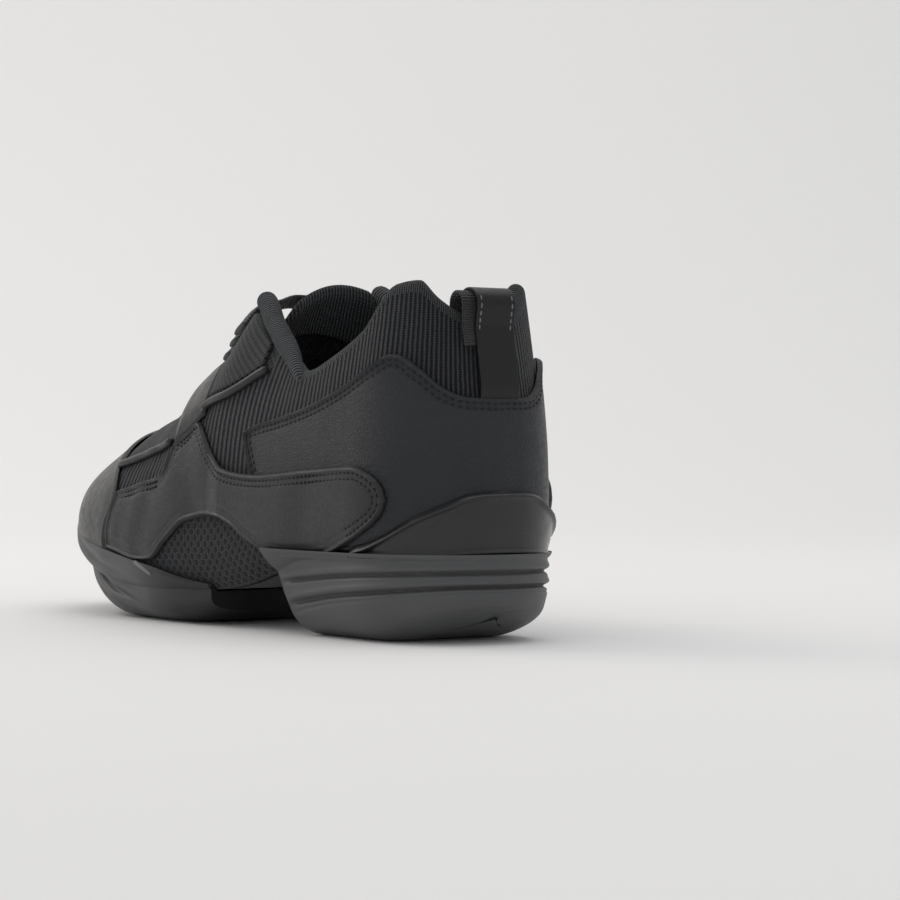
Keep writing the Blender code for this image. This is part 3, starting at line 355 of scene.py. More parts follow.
def make_upper():
    """A ring of points for each place round the shoe: up the outside, over a round lip, down the lining."""
    half = np.linspace(0, 1, TOE_COLUMN + 1)
    places = np.concatenate([half, np.linspace(1, 2, TOE_COLUMN + 1)[1:]])
    t = np.linspace(0, 1, ROWS) ** 0.9
    a = places[:, None]
    side, s = fold(np.where(places >= 2, 0.0, places))
    thick = wall_thickness(s[:, None], t)
    outer = surface(a, t)
    inner = skin(a, t, -thick)
    closed = s >= THROAT_FRONT - 1e-9
    spine = section("spine", s) * BALL_HALF
    inner[..., 0] = spine[:, None] + side[:, None] * np.maximum(
        side[:, None] * (inner[..., 0] - spine[:, None]), 0.4 * MM * (1 - t))
    for grid in (outer, inner):
        grid[closed, -1, 0] = spine[closed]
        mirror = grid[::-1]
        grid[closed, -1] = (grid[closed, -1] + mirror[closed, -1]) / 2
        grid[0, :, 0] = grid[-1, :, 0] = 0
        grid[TOE_COLUMN, :, 0] = spine[TOE_COLUMN]
        grid[TOE_COLUMN, -2] = grid[TOE_COLUMN, -1]
    middle = (outer[:, -1] + inner[:, -1]) / 2
    across = outer[:, -1] - middle
    rise = outer[:, -1] - outer[:, -2]
    rise *= (np.linalg.norm(across, axis=1) / np.linalg.norm(rise, axis=1).clip(1e-9))[:, None]
    angle = np.pi * np.arange(1, ROUND) / ROUND
    lip = (middle[:, None] + across[:, None] * np.cos(angle)[None, :, None]
           + rise[:, None] * np.sin(angle)[None, :, None] * ~closed[:, None, None])
    ring = np.concatenate([outer, lip, inner[:, ::-1], outer[:, :1]], axis=1)
    n, m = ring.shape[:2]
    step = np.linalg.norm(np.diff(surface(places, 0.55), axis=0), axis=1)
    pitch = 1.6 + 1.15 * np.clip(s / 0.3, 0, 1)
    along = np.concatenate([[0], np.cumsum(step / MM * 2.3 / ((pitch[1:] + pitch[:-1]) / 2))])
    uv = np.stack([np.repeat(along[:, None], m, axis=1), travelled(ring) / MM], -1)
    faces = grid_faces(n, m)
    column, row = np.divmod(np.arange(len(faces)), m - 1)
    s_face = (s[column] + s[column + 1]) / 2
    lip_face = (row >= ROWS - 1) & (row < ROWS - 1 + ROUND)
    keep = ~(lip_face & closed[column] & closed[column + 1])
    height = ring[column, row, 2]
    kind = np.zeros(len(faces), int)
    outside = row < ROWS - 1
    window = smooth_curve(WINDOW_TOP, s_face) * COLLAR_HEIGHT
    kind[outside & (height < window) & (s_face > WINDOW_ENDS[0]) & (s_face < WINDOW_ENDS[1])] = 1
    piping = smooth_curve(PIPING_LINE, s_face) * COLLAR_HEIGHT
    kind[outside & (height > piping) & (s_face > KNIT_END)] = 2
    kind[~outside] = 3
    kind[(row >= ROWS - 2) & (row < ROWS + ROUND - 1) & (s_face < KNIT_END)] = 4
    mats = [ribbed_knit("ribbed_knit", "#050608", "#484b51"),
            holed_mesh("side_window_mesh", "#010205", "#272a2e", 1.7, 2.05, 0.72),
            holed_mesh("vamp_mesh", "#020304", "#34373a", 1.0, 1.3, 0.7),
            ribbed_knit("collar_lining", "#07080a", "#34373b", 1.3),
            ribbed_knit("collar_binding", "#0c0d0f", "#5f6468", 1.15)]
    return put_mesh("upper_wall", ring, faces[keep], mats, uv, kind[keep],
                    nodes=["upper"])


upper_wall = make_upper()

# Lasting board and insole
# The board is a stiff fabric sheet sewn under the upper, bare and navy in the arch of the split sole;
# the insole is knit over thin foam and lies loose on it.
BED_EDGE = 3.4 * MM            # both stop this far inside the foot edge


def level_normal(a):
    """Outward direction just over the foot edge, laid level."""
    out = normal(a, 0.04)
    out[:, 2] = 0
    return unit(out)


def bed_points(low, thick):
    """A slab between two curves inside the foot edge: a ring of points for each place along the shoe."""
    places = np.linspace(0, 1, 91)
    s = fold(np.minimum(places, 0.99999))[1]
    z = section("feather", s) * HEEL_BED + low
    edges = []
    for side in (-1, 1):
        a = places if side < 0 else 2 - places
        edges.append(surface(a, 0.0) - level_normal(a) * BED_EDGE)
    share = np.concatenate([np.linspace(0, 1, 9), np.linspace(1, 0, 9)])
    top = np.concatenate([np.zeros(9), np.ones(9)])
    ring = edges[0][:, None] + (edges[1] - edges[0])[:, None] * share[None, :, None]
    ring[..., 2] = z[:, None] + thick * top[None, :]
    return np.concatenate([ring, ring[:, :1]], axis=1)


def plain_cloth(name, low, high, scale):
    """Fine felted cloth, from noise at the size of its fibres. The eye gets a flat, lightless dark field."""
    mat, shader = start_material(name, 0.9, Sheen_Weight=0.2, Specular_IOR_Level=0.3)
    where = add(mat, "TexCoord").outputs["Object"]
    fuzz = add(mat, "TexNoise", Vector=where, Scale=1 / (scale * MM), Detail=4.0, Roughness=0.7).outputs[0]
    finish_material(mat, shader, fuzz, 0.25 * MM, low, high)
    return mat


for name, node, slot, low, thick, mat in (
        ("arch_board", "lasting_board", "board_fabric", 0.0, 1.6 * MM,
         plain_cloth("lasting_cloth", "#04050a", "#10131f", 0.5)),
        ("foot_bed", "insole", "insole_fabric", 2.0 * MM, 3.0 * MM,
         plain_cloth("foot_bed_knit", "#08090a", "#202225", 0.8))):
    ring = bed_points(low, thick)
    put_mesh(name, ring, grid_faces(*ring.shape[:2]), [mat], sharp=50, nodes=[node])

# Split sole
# Two moulded units of blown rubber, cemented under heel and forefoot. The heel block has two stepped ribs
# round its side; the forefoot unit turns up into a bumper with grooves that sweep back from the toe.
CLEAR = 0.4 * MM               # gap between pieces that touch
TOE_RISE = 20 * MM             # toe spring of the underside
HEEL_UNDERCUT = 15 * MM        # how far the block's front face slants back to the floor
UNDERCUT_START = 0.17
HEEL_END = 0.305
HEEL_BEVEL = 9 * MM            # the block's back edge is lifted off the floor
FORE_START = 0.45
# Upper edges by share of length and of collar height, the underside by share of TOE_RISE
HEEL_RAND = ((0.0, 0.252), (0.2, 0.252), (0.31, 0.255))
FORE_RAND = ((0.44, 0.13), (0.48, 0.14), (0.56, 0.175), (0.70, 0.225), (0.80, 0.26), (0.90, 0.315),
             (1.0, 0.335))
FORE_UNDER = ((0.44, 0.30), (0.50, 0.08), (0.56, 0.0), (0.70, 0.0), (0.79, 0.27), (0.86, 0.56),
              (0.93, 0.82), (1.0, 1.05))
# Sides by share of their own height: how far they stand off the upper, in mm
HEEL_SIDE = ((0.0, -7.5), (0.02, -4.6), (0.05, -2.2), (0.11, 0.9), (0.17, 2.6), (0.24, 3.7), (0.38, 4.6),
             (0.50, 5.2))
FORE_SIDE = ((0.0, -9.0), (0.03, -5.6), (0.07, -2.9), (0.12, -0.9), (0.2, 0.9), (0.32, 2.2), (0.5, 2.8),
             (0.9, 2.9), (1.0, 2.2))
# Grooves: height share at the back or tip, fall along the shoe, depth in mm, and for the heel half width
HEEL_GROOVES = ((0.79, 0.18, 1.2, 0.026), (0.60, 0.24, 1.4, 0.030), (0.525, 0.26, 0.35, 0.02))
TOE_GROOVES = ((0.80, 1.9, 1.9), (0.50, 1.5, 1.4), (1.02, 1.3, 0.8))


def rubber(name, low, high, gloss, rear=None):
    """Moulded rubber: colour from slow noise, a fine pebble from the mould. The eye gets a satin grey with
    soft highlights on the ribs. rear is a darker colour and the places between which it gives way: painted
    shade under the arch, partly the navy of the bare arch."""
    mat, shader = start_material(name, gloss, Specular_IOR_Level=0.45, Coat_Weight=0.08, Coat_Roughness=0.3)
    where = add(mat, "TexCoord").outputs["Object"]
    drift = add(mat, "TexNoise", Vector=where, Scale=30.0, Detail=3.0).outputs[0]
    pebble = add(mat, "TexNoise", Vector=where, Scale=2400.0, Detail=2.0).outputs[0]
    finish_material(mat, shader, pebble, 0.03 * MM, low, high, drift)
    if rear:
        # Painted arch shade: the colour darkens towards the back of the unit.
        plain = shader.inputs["Base Color"].links[0].from_socket
        along = add(mat, "SeparateXYZ", i0=where).outputs[1]
        ahead = add(mat, "MapRange", (("interpolation_type", "SMOOTHSTEP"),), Value=along, From_Min=rear[1],
                    From_Max=rear[2]).outputs[0]
        mix = add(mat, "Mix", (("data_type", "RGBA"),), i0=ahead, i6=linear(rear[0]), i7=plain)
        mat.node_tree.links.new(mix.outputs[2], shader.inputs["Base Color"])
    return mat


def sole_unit(first, last, rand, under, side_table, lip, count, relief, slim):
    """A ring for each place: foot bed, inside of the rand, lip, stepped side down to the floor, middle.
    Each side point stands off the upper by side_table plus relief, which slim(s) shrinks at the toe."""
    u = np.linspace(place_of(first), place_of(last), count)
    s = (1 - np.cos(np.pi * u)) / 2
    low = under(s)
    high = smooth_curve(rand, s) * COLLAR_HEIGHT
    h = np.unique(np.concatenate([np.linspace(0, 1, 90), [0.004, 0.016, 0.985, 0.995]]))[::-1]
    size = slim(s)[:, None]
    halves = []
    for side in (-1, 1):
        a = u if side < 0 else 2 - u
        t_rand = t_at(a, high)
        inside = skin(a[:, None], t_rand[:, None] * np.array([0, 0.25, 0.5, 0.75, 1.0]), CLEAR)
        inside[:, 0, 2] -= CLEAR
        lip_points = skin(a[:, None], t_rand[:, None],
                          CLEAR + (lip * size - CLEAR) * np.array([0.3, 0.7, 1.0]))
        z = low[:, None] + (high - low)[:, None] * h
        t = t_at(np.repeat(a[:, None], len(h), axis=1), z)
        stand = smooth_curve(side_table, h)[None, :] * MM
        stand = np.where(stand > 0, stand * size, stand) + relief(s[:, None], h[None, :])
        wall = surface(a[:, None], t) + level_normal(a)[:, None] * stand[..., None]
        wall[..., 2] = z
        halves.append(np.concatenate([inside, lip_points, wall], axis=1))
    middle = (surface(u, 0.0) + surface(2 - u, 0.0)) / 2
    bed = middle - np.array([0, 0, CLEAR])
    floor = np.stack([middle[:, 0], middle[:, 1], low], -1)
    ring = np.concatenate([bed[:, None], halves[0], floor[:, None], halves[1][:, ::-1], bed[:, None]], 1)
    return ring, s


def ring_faces(ring, cap_first, cap_last):
    """Faces between rings, with a face over an end that is cut square."""
    n, m = ring.shape[:2]
    faces = grid_faces(n, m).tolist()
    if cap_first:
        faces.append(list(range(m - 1)))
    if cap_last:
        faces.append([(n - 1) * m + j for j in range(m - 1)][::-1])
    return faces


def heel_relief(s, h):
    """Top band with a groove below it, two rounded ribs that sink towards the front, and tread nicks."""
    sink = np.clip(s / HEEL_END, 0, 1) ** 1.5
    front = 1 - np.clip((s - 0.27) / 0.035, 0, 1) ** 2
    total = 0.3 * MM * np.exp(-((h - 0.97) / 0.03) ** 4)
    for centre, fall, depth, wide in HEEL_GROOVES:
        line = centre - fall * sink
        total = total - depth * MM * np.exp(-((h - line) / wide) ** 2) * front
        total = total + 0.6 * MM * np.exp(-((h - line - 0.065) / 0.042) ** 2) * front * (depth > 0.6)
    slit = np.exp(-((np.mod(s * LENGTH / MM - 4 + 22 * h, 17) - 8.5) / 0.6) ** 2)
    return total - 0.35 * MM * slit * np.exp(-(h / 0.08) ** 2)


ring, s = sole_unit(0.0, HEEL_END, HEEL_RAND, np.zeros_like, HEEL_SIDE, 4.4 * MM, 170, heel_relief,
                    np.ones_like)
y_share = (ring[..., 1] + HEEL_REST_BACK) / LENGTH
depth = np.clip(1 - ring[..., 2] / HEEL_BED, 0, 1)
front = np.clip((y_share - UNDERCUT_START) / (HEEL_END - UNDERCUT_START), 0, 1)
ring[..., 1] -= HEEL_UNDERCUT * depth * front
ring[..., 2] += HEEL_BEVEL * np.clip(1 - y_share / 0.12, 0, 1) ** 1.6 * depth ** 2
sole_rubber = rubber("blown_rubber", "#444547", "#515253", 0.5)
put_mesh("heel_block", ring, ring_faces(ring, False, True), [sole_rubber], sharp=50,
         nodes=["heel_outsole"])


def toe_relief(s, h):
    """Grooves that start high at the toe and sweep down and back, each with a ridge above it, fading
    before the ball; short upright flutes at the very tip."""
    fade = np.clip((s - 0.60) / 0.10, 0, 1) * (1 - 0.6 * np.clip((s - 0.93) / 0.05, 0, 1))
    total = 0.0
    for start, fall, depth in TOE_GROOVES:
        line = start - fall * (0.90 - s)
        total = total - depth * MM * np.exp(-((h - line) / 0.05) ** 2)
        total = total + 0.5 * depth * MM * np.exp(-((h - line - 0.14) / 0.08) ** 2)
    flute = (np.sin(2 * np.pi * s / 0.012) * np.clip((s - 0.90) / 0.04, 0, 1)
             * np.exp(-((h - 0.72) / 0.2) ** 2))
    return total * fade + 0.25 * MM * flute


ring, s = sole_unit(FORE_START, 1.0, FORE_RAND, lambda s: smooth_curve(FORE_UNDER, s) * TOE_RISE,
                    FORE_SIDE, 2.2 * MM, 210, toe_relief,
                    lambda s: 1 - 0.55 * np.clip((s - 0.62) / 0.23, 0, 1))
# Darker towards the arch: painted shade under the arch, partly the navy of the arch's fabric.
rubber_with_painted_arch_shade = rubber("blown_rubber_with_painted_arch_shade", "#444547", "#515253", 0.5,
                       ("#05060b", 0.100, 0.128))
put_mesh("forefoot_unit", ring, ring_faces(ring, True, False), [rubber_with_painted_arch_shade], sharp=50,
         nodes=["forefoot_outsole"])

# Side leather
# Smooth dark leather from the heel, under the arch and forward to the toe cap, its edge turned and double
# stitched; it lies over the quarter at the rear and over the bare upper in front.
SIDE_TOP = ((0.064, 0.400), (0.068, 0.435), (0.085, 0.475), (0.113, 0.494), (0.20, 0.484), (0.317, 0.467),
            (0.364, 0.472), (0.397, 0.484), (0.430, 0.523), (0.460, 0.587), (0.479, 0.621), (0.484, 0.625),
            (0.509, 0.595), (0.535, 0.562), (0.541, 0.550), (0.543, 0.525), (0.547, 0.485), (0.560, 0.462),
            (0.592, 0.446), (0.676, 0.408))
SIDE_LOW = ((0.064, 0.400), (0.069, 0.365), (0.09, 0.322), (0.13, 0.283), (0.20, 0.250), (0.289, 0.245),
            (0.339, 0.276), (0.375, 0.315), (0.407, 0.336), (0.436, 0.340), (0.486, 0.323), (0.53, 0.261),
            (0.57, 0.198), (0.60, 0.193), (0.66, 0.215), (0.70, 0.23))
SIDE_END = ((0.0, 0.686), (0.12, 0.687), (0.35, 0.691), (0.55, 0.688), (1.0, 0.676))
LEATHER = 1.3 * MM
UNDER_QUARTER = 1.9 * MM       # room for the quarter beneath
SIDE_ROWS = (2.0 * MM, 3.7 * MM)  # rows of stitches, from the edge
# Soft troughs: share and height of each end, width, depth
SIDE_CREASES = ((0.60, 0.24, 0.575, 0.42, 5.5 * MM, 0.45 * MM), (0.645, 0.25, 0.63, 0.40, 4 * MM, 0.3 * MM),
                (0.47, 0.36, 0.50, 0.52, 5 * MM, 0.35 * MM), (0.22, 0.29, 0.205, 0.44, 7 * MM, 0.3 * MM))


def crest_skin(a, t, off):
    """Skin whose crest, in front of the throat, is the same line from both sides."""
    a, t, off = np.broadcast_arrays(np.asarray(a, float), np.asarray(t, float), np.asarray(off, float))
    out = normal(a, t)
    on_crest = (t > 0.999) & (fold(a)[1] >= THROAT_FRONT - 1e-6)
    if on_crest.any():
        out[on_crest] = unit(out[on_crest] + normal(2 - a[on_crest], t[on_crest]))
    return surface(a, t) + out * off[..., None]


def nearest(points, line):
    """Distance of each point to a dense line of points, taken a few hundred points at a time."""
    flat = points.reshape(-1, 3)
    parts = [np.sqrt(((block[:, None] - line[None]) ** 2).sum(-1).min(1))
             for block in np.array_split(flat, max(1, len(flat) // 400))]
    return np.concatenate(parts).reshape(points.shape[:-1])


def blend(want, places, values):
    """Rows of three numbers, known at places, read off at want by straight steps."""
    return np.stack([np.interp(want, places, values[:, c]) for c in range(3)], -1)


def turned_edge(d, thick, round_over, rim=0.0, rim_at=1.1 * MM, troughs=()):
    """Height of a leather sheet at the distance d from its edge: a quarter round, a raised rim, and a soft
    trough of 0.25 mm under each row of stitches."""
    share = np.clip(d / round_over, 0, 1)
    height = (thick * np.sqrt(1 - (1 - share) ** 2)
              + rim * np.exp(-((d - rim_at) / (0.6 * rim_at)) ** 2) * share)
    for row in troughs:
        height = height - 0.25 * MM * np.exp(-((d - row) / (0.8 * MM)) ** 2) * share
    return height


def sheet_piece(name, grids, base, profile, mat, nodes, free=None, dents=None):
    """Two sheets over each grid of places (a, t), joined round the edge. profile is the height by the
    distance from the edge, base the clearance under the piece, dents extra height by place; free says
    which of a grid's four sides are no edge of the piece."""
    all_points, all_faces, all_uv, start = [], [], [], 0
    flats = [crest_skin(a, t, base(a, t)) for a, t in grids]
    border = []
    for (a, t), flat in zip(grids, flats):
        sides = [flat[0], flat[-1], flat[:, 0]]
        top_is_crest = (t[:, -1] > 0.999) & (fold(a[:, -1])[1] >= THROAT_FRONT - 1e-6)
        sides.append(flat[~top_is_crest, -1])
        for k, run in enumerate(sides):
            if free and free[k]:
                continue
            if len(run) > 1:
                border.append(blend(np.linspace(0, len(run) - 1, 3 * len(run)), np.arange(len(run)), run))
    border = np.concatenate(border)
    for (a, t), flat in zip(grids, flats):
        height = profile(nearest(flat, border))
        if dents is not None:
            height = height + dents(flat) * (height > 0.5 * MM)
        outer = crest_skin(a, t, base(a, t) + height)
        n, m = a.shape
        along = np.repeat(travelled(flat[:, m // 2])[:, None], m, axis=1)
        uv = np.stack([along, travelled(flat)], -1) / MM
        for sheet, flip in ((outer, False), (flat, True)):
            all_points.append(sheet.reshape(-1, 3))
            all_faces.append(grid_faces(n, m, start, flip))
            all_uv.append(uv.reshape(-1, 2))
            start += n * m
    return put_mesh(name, np.concatenate(all_points), np.concatenate(all_faces), [mat],
                    np.concatenate(all_uv), nodes=nodes)


def even_run(table, count):
    """Shares of length spaced evenly along a line of (share, height), closer at the line's steep parts."""
    s = np.linspace(table[0][0], table[-1][0], 1500)
    z = smooth_curve(table, s)
    length = np.concatenate([[0], np.cumsum(np.hypot(np.diff(s) * LENGTH, np.diff(z) * COLLAR_HEIGHT))])
    return np.interp(np.linspace(0, length[-1], count), length, s)


def edge_rows(count, crowd=0.6):
    """Rows from 0 to 1, crowded towards both edges."""
    k = np.linspace(0, 1, count)
    return (1 - crowd) * k + crowd * (1 - np.cos(np.pi * k)) / 2


def leather(name, low, high, grain, wrinkle, gloss, wrinkle_stretch=1.0, coat=0.08):
    """Finished leather: pebble cells pressed in by the plate, fine wrinkles along the run. The eye gets a
    satin skin whose highlights break up on the wrinkles; coat is the share of clear topcoat."""
    mat, shader = start_material(name, gloss, Specular_IOR_Level=0.3, Coat_Weight=coat, Coat_Roughness=0.2)
    where = add(mat, "TexCoord").outputs["Object"]
    cells = add(mat, "TexVoronoi", (("feature", "DISTANCE_TO_EDGE"),), Vector=where,
                Scale=1 / (0.9 * MM)).outputs[0]
    pebble = maths(mat, "MINIMUM", maths(mat, "MULTIPLY", cells, 4.0), 1.0)
    stretched = add(mat, "Mapping", Vector=where, Scale=(1.0, 1.0, wrinkle_stretch)).outputs[0]
    folds = add(mat, "TexNoise", Vector=stretched, Scale=260.0, Detail=5.0, Roughness=0.65).outputs[0]
    height = maths(mat, "ADD", maths(mat, "MULTIPLY", pebble, grain), maths(mat, "MULTIPLY", folds, wrinkle))
    drift = add(mat, "TexNoise", Vector=where, Scale=28.0, Detail=4.0).outputs[0]
    finish_material(mat, shader, height, 0.12 * MM, low, high, drift)
    rough = add(mat, "MapRange", Value=folds, From_Min=0.3, From_Max=0.7, To_Min=gloss - 0.08,
                To_Max=gloss + 0.1)
    mat.node_tree.links.new(rough.outputs[0], shader.inputs["Roughness"])
    return mat


def side_grids():
    """Places of the side leather: along its top edge, its front end cut on a slant by SIDE_END."""
    run = even_run(SIDE_TOP, 330)
    share = edge_rows(56)
    end = smooth_curve(SIDE_END, share)
    front = np.clip((run - 0.60) / (run[-1] - 0.60), 0, 1)
    s = run[:, None] + (end - run[-1])[None, :] * (front ** 1.5)[:, None]
    grids = []
    for side in (-1, 1):
        a = place_of(s, side)
        low = t_at(a[:, 0], smooth_curve(SIDE_LOW, s[:, 0]) * COLLAR_HEIGHT)
        high = t_at(a[:, -1], smooth_curve(SIDE_TOP, s[:, -1]) * COLLAR_HEIGHT)
        grids.append((a, low[:, None] + (high - low)[:, None] * share))
    return grids


def over_quarter(a, t):
    """Clearance that lifts the side leather over the quarter behind its front end."""
    s = fold(a)[1]
    over = np.clip((0.44 - s) / 0.04, 0, 1)
    return CLEAR + UNDER_QUARTER * over * over * (3 - 2 * over)


def side_dents(flat):
    """Heights of the creases: each a bell across its line, with a low swell on both sides of it."""
    total = 0 * flat[..., 2]
    side = np.sign(np.median(flat[..., 0]))
    for s0, z0, s1, z1, wide, deep in SIDE_CREASES:
        ends = [surface(place_of(s, side), t_at(place_of(s, side), z * COLLAR_HEIGHT))
                for s, z in ((s0, z0), (s1, z1))]
        step = ends[1] - ends[0]
        share = np.clip(((flat - ends[0]) @ step) / (step @ step), 0, 1)
        away = np.linalg.norm(flat - ends[0] - share[..., None] * step, axis=-1)
        total = (total - deep * np.exp(-(away / wide) ** 2)
                 + 0.4 * deep * np.exp(-((away - 2 * wide) / wide) ** 2))
    return total


side_leather = leather("smooth_side_leather", "#202122", "#2f3032", 0.5, 1.1, 0.40, 2.2)
sheet_piece("side_leather", side_grids(), over_quarter,
            lambda d: turned_edge(d, LEATHER, 1.0 * MM, 0.45 * MM, 0.9 * MM, SIDE_ROWS),
            side_leather, ["side_panel_lateral", "side_panel_medial"],
            dents=side_dents)

# Instep strap
# The same leather, padded, over the instep just in front of the throat; its edges lean forward and its
# feet are stitched to the side leather.
# Edges: share of the way from foot to crest, share of length; the foot by share of length and height
STRAP_REAR = ((0.0, 0.474), (0.35, 0.480), (0.65, 0.493), (1.0, 0.530))
STRAP_FRONT = ((0.0, 0.541), (0.35, 0.565), (0.7, 0.597), (1.0, 0.620))
STRAP_FOOT = ((0.470, 0.652), (0.477, 0.643), (0.509, 0.599), (0.539, 0.563), (0.56, 0.545))
STRAP_LIFT = 0.6 * MM          # its underside over the upper
STRAP_PUFF = 1.3 * MM          # what the padding adds in its middle
STRAP_ROWS = (1.3 * MM, 2.6 * MM)


def strap_grids():
    """Places of the strap: from foot to crest on each side, between its leaning edges."""
    share = edge_rows(64, 0.2)
    across = edge_rows(54)
    rear = smooth_curve(STRAP_REAR, share)
    front = smooth_curve(STRAP_FRONT, share)
    s = rear[None, :] + (front - rear)[None, :] * across[:, None]
    grids = []
    for side in (-1, 1):
        a = place_of(s, side)
        foot = t_at(a[:, 0], smooth_curve(STRAP_FOOT, s[:, 0]) * COLLAR_HEIGHT)
        grids.append((a, foot[:, None] + (1 - foot)[:, None] * share))
    return grids


def puffed(d):
    """Height of the padded strap at the distance d from its edge."""
    return turned_edge(d, LEATHER, 1.2 * MM) + STRAP_PUFF * (1 - np.exp(-(d / (4 * MM)) ** 2))


sheet_piece("strap_leather", strap_grids(), lambda a, t: STRAP_LIFT, puffed, side_leather,
            ["instep_strap"])

# Quarter
# Finely grained leather round the heel and up to the collar, under the side leather; its top edge is
# rolled over a cord and held by two rows of dark thread.
QUARTER_TOP = ((0.0, 0.685), (0.006, 0.688), (0.016, 0.708), (0.033, 0.759), (0.050, 0.793), (0.060, 0.804),
               (0.069, 0.807), (0.079, 0.802), (0.093, 0.786), (0.137, 0.734), (0.197, 0.683),
               (0.279, 0.639), (0.350, 0.608), (0.362, 0.592), (0.366, 0.565), (0.368, 0.45))
QUARTER_ROWS = (1.9 * MM, 3.5 * MM)
QUARTER_SLANT = 0.026          # its front end leans back by this share of length


def quarter_grid():
    """Places of the quarter, from its outer front end round the heel seam to the inner one."""
    half = even_run(QUARTER_TOP, 190)
    s = np.concatenate([half[::-1], half[1:]])
    a = np.concatenate([place_of(half[::-1]), -place_of(half[1:])])
    low = np.where(s > 0.25, 0.262 + 0.06 * np.clip((s - 0.25) / 0.12, 0, 1), 0.262)
    high = smooth_curve(QUARTER_TOP, s)
    share = edge_rows(52)
    height = low[:, None] + (high - low)[:, None] * share
    back = (QUARTER_SLANT * np.clip((s - 0.30) / 0.06, 0, 1)[:, None] ** 2
            * np.clip((0.59 - height) / 0.11, 0, 1.4))
    a = np.sign(a)[:, None] * place_of(s[:, None] - back)
    t_low = t_at(a[:, 0], low * COLLAR_HEIGHT)
    t_high = t_at(a[:, -1], high * COLLAR_HEIGHT)
    return [(a, t_low[:, None] + (t_high - t_low)[:, None] * share)]


quarter_leather = leather("grained_quarter_leather", "#1c1e21", "#2b2d32", 0.9, 2.2, 0.43, 3.5)
sheet_piece("quarter_leather", quarter_grid(), lambda a, t: 1.5 * CLEAR,
            lambda d: turned_edge(d, LEATHER, 0.9 * MM, 0.8 * MM, 0.9 * MM, QUARTER_ROWS),
            quarter_leather, ["quarter"])

# Heel cup
# Moulded shell with a thick shiny rim, sprung into the back of the sole and cemented over the quarter.
CUP_TOP = ((0.0, 0.425), (0.003, 0.423), (0.019, 0.390), (0.037, 0.358), (0.069, 0.310), (0.096, 0.288),
           (0.118, 0.278), (0.130, 0.268), (0.134, 0.256))
CUP_WALL = 1.2 * MM


def cup_grid():
    """Places of the cup, down behind the sole's rand."""
    half = even_run(CUP_TOP, 110)
    s = np.concatenate([half[::-1], half[1:]])
    a = np.concatenate([place_of(half[::-1]), -place_of(half[1:])])
    t_low = t_at(a, 0.25 * COLLAR_HEIGHT)
    t_high = t_at(a, smooth_curve(CUP_TOP, s) * COLLAR_HEIGHT)
    share = edge_rows(44)
    return [(np.repeat(a[:, None], len(share), axis=1), t_low[:, None] + (t_high - t_low)[:, None] * share)]


cup_skin = leather("moulded_cup_skin", "#0e0f11", "#16181b", 0.15, 0.5, 0.34, coat=0.5)
sheet_piece("cup_shell", cup_grid(), lambda a, t: 2.5 * CLEAR + LEATHER,
            lambda d: turned_edge(d, CUP_WALL, 1.3 * MM, 1.1 * MM, 1.3 * MM), cup_skin,
            ["heel_cup"])

# Toe cap
# Smooth leather drawn over the toe and down behind the bumper, its rear edge folded and stitched twice.
TOE_REAR = ((0.0, 0.690), (0.09, 0.695), (0.15, 0.692), (0.25, 0.679), (0.33, 0.687), (0.42, 0.706),
            (0.6, 0.73), (0.8, 0.75), (1.0, 0.765))
TOE_LEATHER = LEATHER * 0.9    # a little thinner, to be drawn over the toe


def toe_grids():
    """Places of the cap: columns fan from the rear edge to the tip, one grid for each side."""
    share = edge_rows(60, 0.3)
    s_rear = smooth_curve(TOE_REAR, share)
    u_rear = place_of(s_rear)
    across = edge_rows(100, 0.25)
    grids = []
    for side in (-1, 1):
        u = u_rear[None, :] + (1 - u_rear)[None, :] * across[:, None]
        s = fold(np.minimum(u, 0.999999))[1]
        low = t_at(u, smooth_curve(FORE_RAND, s) * COLLAR_HEIGHT * 0.94)
        a = u if side < 0 else 2 - u
        grids.append((a, low + (1 - low) * share[None, :]))
    return grids


sheet_piece("toe_leather", toe_grids(), lambda a, t: CLEAR,
            lambda d: turned_edge(d, TOE_LEATHER, 0.9 * MM, 0.25 * MM, 0.9 * MM),
            leather("smooth_toe_leather", "#2b2c2c", "#3c3d3c", 0.45, 0.8, 0.40, 1.4),
            ["toe_cap"], free=(False, True, False, False))

# Eyestays and pipings
# The throat is edged with doubled mesh; a cord covered in leather runs below it, and another edges the
# front of the vamp mesh.
EYESTAY_ENDS = (0.362, 0.524)  # shares of length
PIPING_ENDS = (("rear", 0.350, 0.492), ("front", 0.556, 0.712))
PIPING_RADIUS = 1.5 * MM


def eyestay_grids():
    """Places of the mesh strips each side of the throat."""
    grids = []
    for side in (-1, 1):
        s = np.linspace(*EYESTAY_ENDS, 110)
        a = place_of(s, side)
        low = t_at(a, (smooth_curve(PIPING_LINE, s) + 0.022) * COLLAR_HEIGHT)
        share = edge_rows(40)
        grids.append((np.repeat(a[:, None], 40, axis=1), low[:, None] + (0.985 - low)[:, None] * share))
    return grids


sheet_piece("eyestay_mesh", eyestay_grids(), lambda a, t: CLEAR,
            lambda d: turned_edge(d, 1.0 * MM, 0.8 * MM),
            holed_mesh("eyestay_holed_mesh", "#020304", "#34373a", 1.2, 1.3, 0.72),
            ["eyestay_lateral", "eyestay_medial"])


